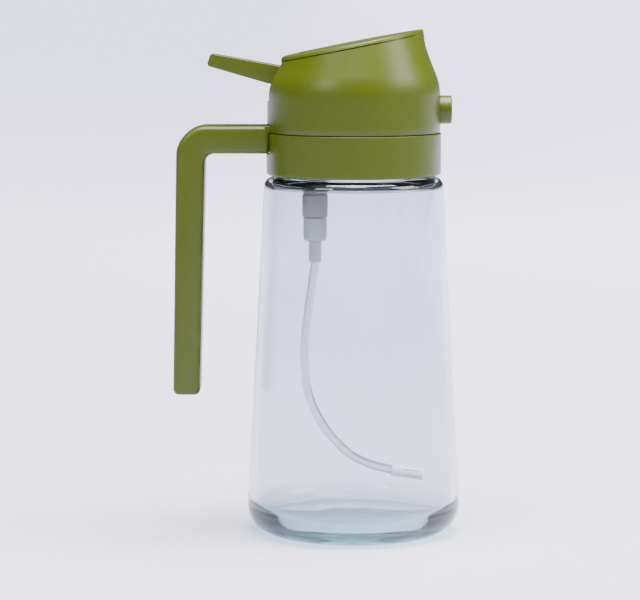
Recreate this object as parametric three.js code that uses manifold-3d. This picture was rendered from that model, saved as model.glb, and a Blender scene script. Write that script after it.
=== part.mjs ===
// Kitchen oil bottle that sprays and pours: a glass bottle under a moulded screw-on head.
// Millimetres, +Z up, origin at the centre of the bottle's base on the table.
// +X points to the nozzle and the pouring beak, -X to the handle and the thumb lever.
import * as THREE from 'three';
import { mergeVertices } from 'three/addons/utils/BufferGeometryUtils.js';
import Module from 'manifold-3d';

const wasm = await Module();
wasm.setup();

// ---------------------------------------------------------------- driving dimensions
// Clearances
const fit = 0.3;                 // between pieces that touch or seat on each other
const runningFit = 0.4;          // round pieces that move
const through = 1;               // how far a cutter runs past the face it opens
const embed = 0.5;               // how far joined solids reach into each other

// Glass bottle
const baseRadius = 41;           // the widest place, just above the heel
const heelRadius = 11;
const shoulderRadius = 34.4;     // where the cone meets the shoulder's rounding
const shoulderRounding = 3.6;
const bodyHeight = 134;          // height of that meeting place
const floorThickness = 6;
const wallThickness = 2.8;
const innerHeelRadius = 8;
const rimRounding = 0.8;
const innerRoundingMin = 0.6;
const neckRadius = 24.4;
const neckWall = 3.5;
const neckHeight = 13.2;         // from the shoulder's top to the rim
const neckFillet = 1.2;

// Screw thread of the neck, round ridges on both pieces
const threadPitch = 4.5;
const threadTurns = 1.1;
const threadBottomGap = 5.2;     // from the shoulder's top to the glass ridge's start
const glassRidgeRadius = 1.4;
const collarRidgeRadius = 1.05;
const ridgeSink = 0.1;           // a ridge's middle lies this deep in its wall

// Collar
const collarRadius = 33.4;
const collarWall = 2.0;
const collarLift = 0.9;          // gap over the shoulder's top
const collarEdgeRounding = 1.0;
const threadSkirtWall = 2.0;
const threadSkirtLift = 0.6;     // above the outer skirt's lower edge
const notchSkirtGap = 1.2;       // from the threaded skirt to the handle's notch
const deckThickness = 2.2;
const gasketThickness = 0.9;
const ribWall = 1.9;             // rib on the deck that centres the cover
const ribHeight = 2.2;
const snapWidth = 6;
const snapDepth = 0.8;
const snapHeight = 1.0;
const snapLift = 0.9;            // above the deck
const snapRoot = 0.6;

// Head cover
const coverWall = 2.0;
const coverStep = 0.3;           // the cover is this much smaller than the collar
const coverWallHeight = 13.8;    // straight wall above the seam
const domeRounding = 22;
const domeLean = THREE.MathUtils.degToRad(22.7);
const topHeight = 34.4;          // slanted top above the seam, on the axis
const topSlope = THREE.MathUtils.degToRad(11.1);
const topThickness = 3.0;
const beakOverhang = 2.37;       // past the front edge of the slanted top
const beakRootInset = 0.63;      // behind that edge
const beakRootHalfWidth = 7.2;
const beakTail = 6;
const beakTailFlare = 3;
const beakDepth = 10;
const grooveRadius = 2.2;
const grooveOverlap = 4;
const rearCut = 8;               // how far the rear openings reach in
const nozzleCut = 12;

// Flip lid, measured along the slanted top
const lidRearMargin = 10.34;     // from the top's rear edge to the hinge
const lidFrontMargin = 1.67;     // from the lid's edge to the top's front edge
const lidHalfWidth = 9.8;
const lidThickness = 1.9;
const lidFrontRounding = 7;
const lidRearRounding = 2;
const lidRearGap = 2.1;          // from the hinge line to the plate's rear edge
const lidRecess = 2.2;
const lidHingeHeight = -1.3;     // from the slanted top, downwards negative
const lidTabOverlap = 2;
const lidBarrelRadius = 1.6;
const lidBarrelHalfLength = 6;
const lidPinRadius = 0.75;
const earLength = 2.8;
const lidPadThickness = 1.5;
const lidPadGap = 0.5;
const lidSwingHeight = 6;        // what is cut free above the top

// Pouring channel
const channelWidth = 18;
const channelRounding = 4;
const channelWall = 1.4;
const channelFlange = 1.8;
const flangeThickness = 1.2;
const mouthLedge = 0.2;
const mouthFrontLedge = 0.6;
const mouthRounding = 3;
const mouthEndFlat = 0.1;        // least straight left between the rounded corners

// Handle
const handleWidth = 17.7;
const armThickness = 10.7;
const armTopAboveSeam = 3.0;
const fingerGap = 17.9;          // between the glass and the leg's end
const legSplay = 1.8;            // the leg's end stands out this much more than its top
const legThicknessTop = 11.0;
const legThicknessBottom = 10.4;
const handleDrop = 103.3;        // arm's top down to the leg's end
const handleOuterRounding = 11.7;
const handleInnerRounding = 3.5;
const handleEndRounding = 2.2;
const handleBevel = 1.6;
const handleScrewInset = 2.9;    // from the outer skirt's inside
const tongueEnd = 4.5;           // from the screws to the tongue's end
const handleScrewY = 6;
const bossRadius = 2.1;

// Screws, one size throughout
const screwRadius = 1.0;
const screwHeadRadius = 1.95;
const screwHeadHeight = 1.1;
const screwHeadEdge = 0.55;
const screwHeadFlat = 1.37;      // radius of the flat on the head
const screwShank = 7.5;
const screwTip = 0.8;
const screwTipRadius = 0.5;
const bossDepth = 6.0;           // of the bosses under the deck

// Thumb lever, heights above the seam
const hosePostGap = 2.3;         // from the hose on the riser to the lever's posts
const leverPivotHeight = 16.8;
const leverHubRadius = 3.4;
const leverWidth = 13;
const leverPress = THREE.MathUtils.degToRad(12);
const leverPadLength = 22.9;     // from the root to the tip
const leverTipHeight = 30.2;
const leverTipThickness = 4.6;
const leverRootInset = 1.8;      // inside the cover's outer face
const leverRootHeight = 26.2;
const leverRootThickness = 7.2;
const leverTipRounding = 1.3;
const leverTipRake = 1.7;
const leverRootRounding = 8;
const leverRootSetback = 1.5;
const leverBellyInset = 4.5;
const leverBellyDrop = 1;
const leverCrestSetback = 8;
const leverCrestRise = 4.6;
const leverEdgeRounding = 1;
const leverPinRadius = 1.5;
const postThickness = 3.0;
const postHalfLength = 3.0;
const leverPinProud = 0.6;
const apronGap = 0.9;            // between the cover and the guard that closes the lever's slot
const apronThickness = 1.6;
const apronRise = 0.08;          // angle above the hinge's height, in radians
const apronOverlap = 0.8;

// Pump
const pumpNeckGap = 1.15;        // between the pump and the neck's bore
const pumpRadius = 4.95;
const pumpBore = 3.5;
const pumpDrop = 32.2;           // cylinder's end below the seam
const boreDrop = 15.2;           // bore's floor below the seam
const pumpFlangeRim = 1.85;      // flange beyond the cylinder
const pumpFlangeThickness = 1.6;
const pumpGasketThickness = 0.7;
const pumpEarOffset = 3.2;       // from the flange's edge to the ears' screws
const pumpEarRadius = 3.1;
const pumpHeadHeight = 3.8;      // bore's top above the seam
const riserRadius = 2.4;
const riserMerge = 0.75;         // how far the riser runs into the cylinder
const riserHeight = 7.6;
const riserDrop = 16.4;
const riserBore = 0.8;
const portLift = 1.3;            // of the crossing bore above the cylinder's floor
const inletPortRadius = 1.5;
const spigotRadius = 0.9;
const spigotBore = 0.45;
const spigotHeight = 5.4;
const ballChamberRadius = 1.5;
const outletBallRadius = 1.1;
const outletSeatDrop = 4.2;
const outletChamberLength = 6;

// Plunger
const rodRadius = 2.0;
const rodTipRadius = 1.1;
const buttonRadius = 1.9;
const buttonThickness = 1.3;
const sealHeight = 3.0;
const sealBelowGuide = 5.5;
const sealLip = 1.0;
const sealWaist = 0.7;
const guideThickness = 1.0;
const guideDepth = 2.5;
const plungerTopHeight = 15.9;
const plungerHeadRadius = 4.0;
const plungerHeadThickness = 1.0;
const plungerDome = 1.5;
const crownRadius = 2.2;
const crownDrop = 0.45;
const springTurns = 5;
const springWireRadius = 0.35;
const springRadius = 3.2;

// Suction side
const housingRadius = 4.5;
const housingLength = 9.0;
const housingEdge = 1.0;
const socketRadius = 3.2;
const socketDepth = 3.6;
const inletBallRadius = 1.9;
const inletChamberRadius = 2.4;
const inletSeatBore = 1.0;
const inletSeatLift = 1.6;
const inletSeatCone = 1.0;
const stemRadius = 2.5;
const stemLength = 8.1;
const tubeRadius = 1.7;
const tubeBore = 1.1;
const tubeInsertion = 6.5;
const strainerRadius = 2.3;
const strainerLength = 12.6;
const strainerSleeve = 3.4;
const strainerSlotLength = 5.5;
const strainerSlotWidth = 0.8;
const strainerSlotStart = 1.2;
const strainerEndWall = 1.0;
const tubeRoute = [              // offset from the pump's axis, share of the stem's height
  [-1.0, 0.933], [-2.7, 0.821], [-4.1, 0.707], [-3.9, 0.597], [-2.1, 0.501], [1.9, 0.415],
  [7.2, 0.344], [13.6, 0.287], [20.8, 0.251], [28.0, 0.232], [32.8, 0.2245],
];

// Nozzle and its hose
const nozzleHeight = 8.8;        // above the seam
const nozzleProtrusion = 4.3;    // in front of the cover
const nozzleCapRadius = 5.45;
const nozzleCapLength = 10;
const nozzleCapWall = 1.9;
const nozzleCapEdge = 0.5;
const orificeRadius = 0.4;
const orificeMouthRadius = 1.6;
const orificeMouthDepth = 1.2;
const nozzleBodyRadius = 4.0;
const nozzleBodyLength = 11;
const nozzleBore = 1.1;
const nozzleInletSetback = 12.4; // from the cap's face
const insertThickness = 1.8;
const saddleHalfWidth = 3.5;
const hoseRadius = 1.9;
const hoseBore = 1.2;
const hoseBend = 7;
const hoseGrip = 4;              // length of each spigot that the hose covers
const hosePostClearance = 3;     // between the hose and the lever's pin
const hoseEase = 0.1;            // share of the rise at each end of the run

// ---------------------------------------------------------------- sizes that follow
const leanAngle = Math.atan2(baseRadius - shoulderRadius, bodyHeight - heelRadius);
const shoulderTop = bodyHeight - shoulderRounding * Math.sin(leanAngle) + shoulderRounding;
const rimZ = shoulderTop + neckHeight;
const deckBottom = rimZ + 2 * fit + gasketThickness;
const seamZ = deckBottom + deckThickness;
const collarBottom = shoulderTop + collarLift;
const threadSkirtInner = neckRadius + glassRidgeRadius + fit;
const threadSkirtOuter = threadSkirtInner + threadSkirtWall;
const skirtInner = collarRadius - collarWall;
const coverRadius = collarRadius - coverStep;
const coverBottom = seamZ + fit;
const domeEndX = coverRadius - domeRounding * (1 - Math.cos(domeLean));
const domeEndHeight = coverWallHeight + domeRounding * Math.sin(domeLean);
const topReach = (side) => (domeEndX - (topHeight - domeEndHeight) * Math.tan(domeLean))
  / (1 + side * Math.tan(topSlope) * Math.tan(domeLean));
const topFrontX = topReach(1);
const beakReach = topFrontX + beakOverhang;
const beakRootX = topFrontX - beakRootInset;
const lidReach = topFrontX / Math.cos(topSlope) - lidFrontMargin;
const lidHingeReach = topReach(-1) / Math.cos(topSlope) - lidRearMargin;
const ribOuter = coverRadius - coverWall - fit;
const topZ = seamZ + topHeight;
const armTop = seamZ + armTopAboveSeam;
const armBottom = armTop - armThickness;
const handleReachBottom = baseRadius + fingerGap + legThicknessBottom;
const handleReachTop = handleReachBottom - legSplay;
const handleScrewX = skirtInner - handleScrewInset;
const tongueReach = handleScrewX - tongueEnd;
const pumpX = -(neckRadius - neckWall - pumpNeckGap - pumpRadius);
const pumpFlangeRadius = pumpRadius + pumpFlangeRim;
const pumpEarY = pumpFlangeRadius + pumpEarOffset;
const riserX = pumpX + pumpRadius + riserRadius - riserMerge;
const leverPivotX = riserX + hoseRadius + hosePostGap + postHalfLength;
const leverRootX = -(coverRadius - leverRootInset);
const leverTipX = leverRootX - leverPadLength;
const apronReach = coverRadius - coverWall + leverPivotX - apronGap;
const channelRearX = leverPivotX + postHalfLength + 2 * fit + channelFlange;
const channelFrontX = neckRadius - neckWall + fit;
const channelX = (channelRearX + channelFrontX) / 2;
const channelLength = channelFrontX - channelRearX;
const pivotZ = seamZ + leverPivotHeight;
const postInnerY = leverWidth / 2 + 2 * fit;
const leverPinHalf = postInnerY + postThickness + leverPinProud;
const flangeBottom = seamZ + 2 * fit + pumpGasketThickness;
const flangeTop = flangeBottom + pumpFlangeThickness;
const cylinderBottom = seamZ - pumpDrop;
const boreBottom = seamZ - boreDrop;
const boreTop = seamZ + pumpHeadHeight;
const spigotZ = seamZ + spigotHeight;
const outletSeatZ = seamZ - outletSeatDrop;
const plungerTop = seamZ + plungerTopHeight;
const plungerHeadBottom = plungerTop - plungerDome - plungerHeadThickness;
const guideTop = boreTop + fit + guideThickness;
const guideRadius = riserX - riserRadius - fit - pumpX;
const sealTop = boreTop - guideDepth - sealBelowGuide;
const housingTop = cylinderBottom - fit;
const housingBottom = housingTop - housingLength;
const stemBottom = housingBottom - stemLength;
const nozzleZ = seamZ + nozzleHeight;
const nozzleFaceX = coverRadius + nozzleProtrusion;
const nozzleInletX = nozzleFaceX - nozzleInletSetback;
const nozzleBodyFront = nozzleFaceX - nozzleCapWall - 2 * fit - insertThickness;

const roundSegments = 36;
const midSegments = 16;
const smallSegments = 10;
const boreSegments = 8;
const ballRings = 8;
const ridgeSteps = 32;
const ridgeSides = 6;
const coilSteps = 10;
const tubeSteps = 32;
const hoseSteps = 20;
const tubeSides = 8;

// ---------------------------------------------------------------- helpers
const vec2 = (x, y) => new THREE.Vector2(x, y);
const vec3 = (x, y, z) => new THREE.Vector3(x, y, z);

/** Closed manifold solid of a geometry: shared corners merged, flat triangles at poles dropped. */
function solid(geometry) {
  const bare = geometry.clone();
  bare.deleteAttribute('normal');
  bare.deleteAttribute('uv');
  const merged = mergeVertices(bare, 1e-4);
  const index = merged.index.array;
  const triangles = [];
  for (let i = 0; i < index.length; i += 3) {
    const corners = [index[i], index[i + 1], index[i + 2]];
    if (new Set(corners).size === 3) triangles.push(...corners);
  }
  return new wasm.Manifold(new wasm.Mesh({
    numProp: 3,
    vertProperties: Float32Array.from(merged.attributes.position.array),
    triVerts: Uint32Array.from(triangles),
  }));
}

/** Mesh geometry of a manifold solid. */
function geometryOf(manifold) {
  const mesh = manifold.getMesh();
  const geometry = new THREE.BufferGeometry();
  geometry.setAttribute('position', new THREE.BufferAttribute(Float32Array.from(mesh.vertProperties), 3));
  geometry.setIndex(new THREE.BufferAttribute(Uint32Array.from(mesh.triVerts), 1));
  geometry.computeVertexNormals();
  return geometry;
}

const join = (...solids) => solids.reduce((whole, next) => whole.add(next));
const cut = (whole, ...tools) => tools.reduce((rest, tool) => rest.subtract(tool), whole);

/** Turned solid about the Z axis through (x, y); the outline runs anticlockwise. */
function turned(outline, segments = midSegments, x = 0, y = 0) {
  const closed = outline[0].x > 0 ? [...outline, outline[0]] : outline;
  return solid(new THREE.LatheGeometry(closed, segments).rotateX(Math.PI / 2).translate(x, y, 0));
}

/** Upright cylinder between two heights. */
function rod(radius, bottom, top, x = 0, y = 0, segments = midSegments) {
  const geometry = new THREE.CylinderGeometry(radius, radius, top - bottom, segments);
  return solid(geometry.rotateX(Math.PI / 2).translate(x, y, (bottom + top) / 2));
}

/** Cylinder along X between two stations; its two radii may differ. */
function rodX(radius, startX, endX, y, z, segments = midSegments, endRadius = radius) {
  const geometry = new THREE.CylinderGeometry(endRadius, radius, endX - startX, segments);
  return solid(geometry.rotateZ(-Math.PI / 2).translate((startX + endX) / 2, y, z));
}

/** Cylinder along Y between two stations. */
function rodY(radius, startY, endY, x, z, segments = midSegments) {
  const geometry = new THREE.CylinderGeometry(radius, radius, endY - startY, segments);
  return solid(geometry.translate(x, (startY + endY) / 2, z));
}

/** Block between two corners. */
function block(low, high) {
  const size = high.clone().sub(low);
  const middle = low.clone().add(high).multiplyScalar(0.5);
  return solid(new THREE.BoxGeometry(size.x, size.y, size.z).translate(middle.x, middle.y, middle.z));
}

/** Side profile in X and Z, given a width in Y. */
function sidePlate(shape, width, bevel = 0, curveSegments = 6) {
  const geometry = new THREE.ExtrudeGeometry(shape, {
    depth: width - 2 * bevel,
    bevelEnabled: bevel > 0,
    bevelSize: bevel,
    bevelThickness: bevel,
    bevelOffset: -bevel,
    bevelSegments: 2,
    curveSegments,
  });
  return solid(geometry.rotateX(Math.PI / 2).translate(0, width / 2 - bevel, 0));
}

/** Outline through corners, each with its own rounding; a rounding of 0 keeps it sharp. */
function roundedCorners(corners) {
  const shape = new THREE.Shape();
  corners.forEach(([x, y, rounding], i) => {
    const here = vec2(x, y);
    const back = vec2(...corners.at(i - 1).slice(0, 2)).sub(here).normalize();
    const ahead = vec2(...corners[(i + 1) % corners.length].slice(0, 2)).sub(here).normalize();
    const tangent = rounding / Math.tan(Math.acos(back.dot(ahead)) / 2);
    const start = here.clone().addScaledVector(back, tangent);
    const end = here.clone().addScaledVector(ahead, tangent);
    if (i === 0) shape.moveTo(start.x, start.y);
    else shape.lineTo(start.x, start.y);
    if (rounding > 0) shape.quadraticCurveTo(x, y, end.x, end.y);
  });
  return shape;
}

/** Plan outline in X and Y, standing between two heights. */
function planPlate(shape, bottom, top, curveSegments = 6) {
  const options = { depth: top - bottom, bevelEnabled: false, curveSegments };
  return solid(new THREE.ExtrudeGeometry(shape, options).translate(0, 0, bottom));
}

/** Rectangle with its front and rear corners rounded; grown outwards by offset. */
function roundedOutline(rearX, frontX, halfWidth, rearRadius, frontRadius, offset = 0) {
  const rear = rearX - offset;
  const front = frontX + offset;
  const side = halfWidth + offset;
  const r = rearRadius + offset;
  const f = frontRadius + offset;
  const shape = new THREE.Shape();
  shape.moveTo(rear + r, -side);
  shape.lineTo(front - f, -side);
  shape.absarc(front - f, -side + f, f, -Math.PI / 2, 0);
  shape.absarc(front - f, side - f, f, 0, Math.PI / 2);
  shape.lineTo(rear + r, side);
  shape.absarc(rear + r, side - r, r, Math.PI / 2, Math.PI);
  shape.absarc(rear + r, -side + r, r, Math.PI, 1.5 * Math.PI);
  return shape;
}

/** Points of an arc, both ends included. */
function arcPoints(centre, radius, from, to, steps) {
  const points = [];
  for (let step = 0; step <= steps; step += 1) {
    const angle = from + (to - from) * step / steps;
    points.push(vec2(centre.x + radius * Math.cos(angle), centre.y + radius * Math.sin(angle)));
  }
  return points;
}

/** Round-sectioned bar or pipe along a curve. */
function pipe(curve, radius, steps, sides, bore = 0) {
  const shape = new THREE.Shape().absarc(0, 0, radius, 0, 2 * Math.PI);
  if (bore > 0) shape.holes.push(new THREE.Path().absarc(0, 0, bore, 0, 2 * Math.PI, true));
  return solid(new THREE.ExtrudeGeometry(shape, {
    steps,
    curveSegments: sides / 2,
    extrudePath: curve,
  }));
}

/** Rising helix about the Z axis through (x, 0). */
class Helix extends THREE.Curve {
  constructor(radius, startZ, pitch, turns, x = 0) {
    super();
    Object.assign(this, { radius, startZ, pitch, turns, x });
  }

  getPoint(t, target = new THREE.Vector3()) {
    const angle = 2 * Math.PI * this.turns * t;
    const z = this.startZ + this.pitch * this.turns * t;
    return target.set(this.x + this.radius * Math.cos(angle), this.radius * Math.sin(angle), z);
  }
}

/** Moves a solid from the slanted top's own axes (along, across, up) to its place. */
function onTop(manifold) {
  const geometry = geometryOf(manifold);
  return solid(geometry.rotateY(-topSlope).translate(0, 0, topZ));
}

// ---------------------------------------------------------------- materials
const materials = {
  glass: new THREE.MeshStandardMaterial({
    name: 'clear_glass', color: 0xdfe8e6, roughness: 0.04, transparent: true, opacity: 0.35,
  }),
  green: new THREE.MeshStandardMaterial({ name: 'green_plastic', color: 0x7d8335, roughness: 0.42 }),
  grey: new THREE.MeshStandardMaterial({ name: 'grey_plastic', color: 0x77757a, roughness: 0.45 }),
  white: new THREE.MeshStandardMaterial({ name: 'white_plastic', color: 0xc9ccd6, roughness: 0.4 }),
  tube: new THREE.MeshStandardMaterial({ name: 'tube_plastic', color: 0xcfd2db, roughness: 0.3 }),
  rubber: new THREE.MeshStandardMaterial({ name: 'silicone', color: 0x3b3c3a, roughness: 0.75 }),
  steel: new THREE.MeshStandardMaterial({ name: 'steel', color: 0xb4b6b8, roughness: 0.3, metalness: 1 }),
};

const bottle = new THREE.Group();

/** Adds a finished solid to the bottle as a named piece. */
function addPiece(name, manifold, material) {
  const piece = new THREE.Mesh(geometryOf(manifold), material.clone());
  piece.name = name;
  bottle.add(piece);
}

// ---------------------------------------------------------------- glass bottle
/** Half section of the glass, outside up and inside down, without the thread. */
function glassOutline() {
  const heel = vec2(baseRadius - heelRadius, heelRadius);
  const shoulder = vec2(
    shoulderRadius - shoulderRounding * Math.cos(leanAngle),
    bodyHeight - shoulderRounding * Math.sin(leanAngle),
  );
  const innerShoulder = Math.max(shoulderRounding - wallThickness, innerRoundingMin);
  const innerNeck = neckRadius - neckWall;
  const ceiling = shoulderTop - wallThickness;
  const wallX = (z) => baseRadius - (z - heelRadius) * Math.tan(leanAngle) - wallThickness;
  const innerCorner = vec2(wallX(floorThickness) - innerHeelRadius, floorThickness + innerHeelRadius);
  return [
    vec2(0, 0),
    ...arcPoints(heel, heelRadius, -Math.PI / 2, leanAngle, 7),
    ...arcPoints(shoulder, shoulderRounding, leanAngle, Math.PI / 2, 4),
    ...arcPoints(vec2(neckRadius + neckFillet, shoulderTop + neckFillet), neckFillet,
      1.5 * Math.PI, Math.PI, 2),
    ...arcPoints(vec2(neckRadius - rimRounding, rimZ - rimRounding), rimRounding, 0, Math.PI / 2, 2),
    ...arcPoints(vec2(innerNeck + rimRounding, rimZ - rimRounding), rimRounding,
      Math.PI / 2, Math.PI, 2),
    vec2(innerNeck, ceiling + neckFillet),
    vec2(innerNeck + neckFillet, ceiling),
    ...arcPoints(vec2(wallX(ceiling) - innerShoulder, ceiling - innerShoulder), innerShoulder,
      Math.PI / 2, leanAngle, 2),
    ...arcPoints(innerCorner, innerHeelRadius, leanAngle, -Math.PI / 2, 5),
    vec2(0, floorThickness),
  ];
}

const glassThreadZ = shoulderTop + threadBottomGap;
const glassThread = new Helix(neckRadius - ridgeSink, glassThreadZ, threadPitch, threadTurns);
addPiece('glass_bottle', join(
  turned(glassOutline(), roundSegments),
  pipe(glassThread, glassRidgeRadius, ridgeSteps, ridgeSides),
), materials.glass);

// ---------------------------------------------------------------- neck gasket
addPiece('neck_gasket', turned([
  vec2(neckRadius - neckWall + fit, rimZ + fit),
  vec2(neckRadius + glassRidgeRadius - fit, rimZ + fit),
  vec2(neckRadius + glassRidgeRadius - fit, rimZ + fit + gasketThickness),
  vec2(neckRadius - neckWall + fit, rimZ + fit + gasketThickness),
], roundSegments), materials.rubber);

// ---------------------------------------------------------------- collar
const notchHalfWidth = handleWidth / 2 + fit;
const channelOutline = (offset) => roundedOutline(
  channelX - channelLength / 2, channelX + channelLength / 2, channelWidth / 2,
  channelRounding, channelRounding, offset,
);

/** Ring with both skirts and the deck, before its holes. */
function collarRing() {
  const edge = collarEdgeRounding;
  const skirts = turned([
    vec2(0, deckBottom),
    vec2(threadSkirtInner, deckBottom),
    vec2(threadSkirtInner, collarBottom + threadSkirtLift),
    vec2(threadSkirtOuter, collarBottom + threadSkirtLift),
    vec2(threadSkirtOuter, deckBottom),
    vec2(skirtInner, deckBottom),
    vec2(skirtInner, collarBottom),
    ...arcPoints(vec2(collarRadius - edge, collarBottom + edge), edge, -Math.PI / 2, 0, 3),
    vec2(collarRadius, seamZ),
    vec2(ribOuter, seamZ),
    vec2(ribOuter, seamZ + ribHeight),
    vec2(ribOuter - ribWall, seamZ + ribHeight),
    vec2(ribOuter - ribWall, seamZ),
    vec2(0, seamZ),
  ], roundSegments);
  const ridge = new Helix(
    threadSkirtInner - ridgeSink, glassThreadZ - threadPitch / 2, threadPitch, threadTurns,
  );
  return join(skirts, pipe(ridge, collarRidgeRadius, ridgeSteps, ridgeSides));
}

/** Post of the lever's hinge, with a round head. */
function leverPost(side) {
  const shape = new THREE.Shape();
  const x = leverPivotX;
  shape.moveTo(x - postHalfLength, seamZ - embed);
  shape.lineTo(x + postHalfLength, seamZ - embed);
  shape.lineTo(x + postHalfLength, pivotZ);
  shape.absarc(x, pivotZ, postHalfLength, 0, Math.PI);
  const post = sidePlate(shape, postThickness);
  return post.translate([0, side * (postInnerY + postThickness / 2), 0]);
}

/** Cradle on the deck that carries the nozzle's body. */
function nozzleSaddle() {
  const startX = channelX + channelLength / 2 + channelFlange + fit;
  const endX = nozzleFaceX - nozzleCapLength - fit;
  const low = vec3(startX, -saddleHalfWidth, seamZ - embed);
  const high = vec3(endX, saddleHalfWidth, nozzleZ - nozzleBodyRadius / 2);
  const seat = rodX(nozzleBodyRadius + fit, startX - through, endX + through, 0, nozzleZ);
  return cut(block(low, high), seat);
}

const snapAngles = [0, Math.PI / 2, -Math.PI / 2];

/** Snap block at an angle round the rib, grown by a clearance where it is a pocket. */
function snapBlock(angle, clearance) {
  const bottom = seamZ + snapLift;
  const halfWidth = snapWidth / 2 + clearance;
  const low = vec3(ribOuter - snapRoot, -halfWidth, bottom - clearance);
  const high = vec3(ribOuter + snapDepth + clearance, halfWidth, bottom + snapHeight + clearance);
  return block(low, high).rotate([0, 0, THREE.MathUtils.radToDeg(angle)]);
}

/** Boss hanging between or inside the skirts for one screw. */
function boss(x, y) {
  return rod(bossRadius, deckBottom - bossDepth, deckBottom + embed, x, y, smallSegments);
}

/** Round hole for a screw's shank or head between two heights. */
function screwHole([x, y], bottom, top, radius = screwRadius) {
  return rod(radius + fit, bottom, top, x, y, smallSegments);
}

const screwPlaces = {
  handle_screw_left: [-handleScrewX, -handleScrewY],
  handle_screw_right: [-handleScrewX, handleScrewY],
  pump_screw_left: [pumpX, -pumpEarY],
  pump_screw_right: [pumpX, pumpEarY],
};

function collarSolid() {
  const places = Object.values(screwPlaces);
  const whole = join(
    collarRing(),
    leverPost(-1),
    leverPost(1),
    nozzleSaddle(),
    ...snapAngles.map((angle) => snapBlock(angle, 0)),
    ...places.map(([x, y]) => boss(x, y)),
  );
  const ribTop = seamZ + ribHeight + through;
  const notch = block(
    vec3(-collarRadius - through, -notchHalfWidth, armBottom - fit),
    vec3(-threadSkirtOuter - notchSkirtGap, notchHalfWidth, ribTop),
  );
  const ribNotch = block(
    vec3(-collarRadius, -notchHalfWidth, seamZ),
    vec3(-tongueReach + through, notchHalfWidth, ribTop),
  );
  const bossKeep = join(...places.slice(0, 2).map(([x, y]) => boss(x, y)));
  const deckStrip = block(
    vec3(-collarRadius + collarWall + fit, -notchHalfWidth, deckBottom),
    vec3(-threadSkirtInner, notchHalfWidth, seamZ),
  );
  return cut(
    join(cut(whole, notch, ribNotch), bossKeep, deckStrip),
    ...places.map((place) => screwHole(place, deckBottom - bossDepth - through, seamZ + through)),
    rod(pumpRadius + fit, deckBottom - through, seamZ + through, pumpX, 0),
    rod(riserRadius + fit, deckBottom - through, seamZ + through, riserX, 0),
    planPlate(channelOutline(fit), deckBottom - through, seamZ + through),
    rodY(leverPinRadius + fit, -collarRadius, collarRadius, leverPivotX, pivotZ),
  );
}
addPiece('collar', collarSolid(), materials.green);

// ---------------------------------------------------------------- screws
/** Pan-head screw whose head's underside sits at the given height. */
function screw(x, y, seatZ) {
  return turned([
    vec2(0, seatZ - screwShank),
    vec2(screwTipRadius, seatZ - screwShank),
    vec2(screwRadius, seatZ - screwShank + screwTip),
    vec2(screwRadius, seatZ),
    vec2(screwHeadRadius, seatZ),
    vec2(screwHeadRadius, seatZ + screwHeadEdge),
    vec2(screwHeadFlat, seatZ + screwHeadHeight),
    vec2(0, seatZ + screwHeadHeight),
  ], smallSegments, x, y);
}
const tongueSeat = armTop - screwHeadHeight;
for (const [name, [x, y]] of Object.entries(screwPlaces)) {
  const seat = name.startsWith('handle') ? tongueSeat : flangeTop;
  addPiece(name, screw(x, y, seat + fit), materials.steel);
}

// ---------------------------------------------------------------- handle
/** Side profile of the arm and the leg. */
function handleProfile() {
  const rootX = -skirtInner - fit;
  const legEnd = armTop - handleDrop;
  const shape = new THREE.Shape();
  const out = handleOuterRounding;
  const inner = handleInnerRounding;
  const end = handleEndRounding;
  const innerTop = -handleReachTop + legThicknessTop;
  const innerEnd = -handleReachBottom + legThicknessBottom;
  shape.moveTo(rootX, armTop);
  shape.lineTo(-handleReachTop + out, armTop);
  shape.absarc(-handleReachTop + out, armTop - out, out, Math.PI / 2, Math.PI);
  shape.lineTo(-handleReachBottom, legEnd + end);
  shape.absarc(-handleReachBottom + end, legEnd + end, end, Math.PI, 1.5 * Math.PI);
  shape.absarc(innerEnd - end, legEnd + end, end, -Math.PI / 2, 0);
  shape.lineTo(innerTop, armBottom - inner);
  shape.absarc(innerTop + inner, armBottom - inner, inner, Math.PI, Math.PI / 2, true);
  shape.lineTo(rootX, armBottom);
  return shape;
}

function handleSolid() {
  const tongue = block(
    vec3(-skirtInner - through, -handleWidth / 2, seamZ + fit),
    vec3(-tongueReach, handleWidth / 2, armTop),
  );
  const whole = join(sidePlate(handleProfile(), handleWidth, handleBevel), tongue);
  const places = Object.values(screwPlaces).slice(0, 2);
  return cut(
    whole,
    ...places.map((place) => screwHole(place, seamZ - through, armTop + through)),
    ...places.map((place) => screwHole(place, tongueSeat, armTop + through, screwHeadRadius)),
  );
}
addPiece('handle', handleSolid(), materials.green);

// ---------------------------------------------------------------- head cover
/** Dome outline from the seam to above the slanted top, moved inwards by inset. */
function domeOutline(inset, bottom) {
  const wallTop = seamZ + coverWallHeight;
  const arc = arcPoints(
    vec2(coverRadius - domeRounding, wallTop), domeRounding - inset, 0, domeLean, 5,
  );
  const last = arc[arc.length - 1];
  const apex = vec2(last.x - topHeight * Math.tan(domeLean), last.y + topHeight);
  return [vec2(0, bottom), vec2(coverRadius - inset, bottom), ...arc, apex, vec2(0, apex.y)];
}

/** Everything above a plane parallel to the slanted top. */
function aboveTop(depth) {
  const reach = 2 * coverRadius;
  return onTop(block(vec3(-reach, -reach, -depth), vec3(reach, reach, reach)));
}

/** Plan of the pouring beak: a blunt point with a round nose. */
function beakOutline() {
  const shape = new THREE.Shape();
  const tailX = beakRootX - beakTail;
  const tailHalfWidth = beakRootHalfWidth + beakTailFlare;
  shape.moveTo(tailX, -tailHalfWidth);
  shape.lineTo(beakRootX, -beakRootHalfWidth);
  shape.quadraticCurveTo(2 * beakReach - beakRootX, 0, beakRootX, beakRootHalfWidth);
  shape.lineTo(tailX, tailHalfWidth);
  return shape;
}

const lidOutline = (offset) => roundedOutline(
  -lidHingeReach + lidRearGap, lidReach, lidHalfWidth, lidRearRounding, lidFrontRounding, offset,
);

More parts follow.
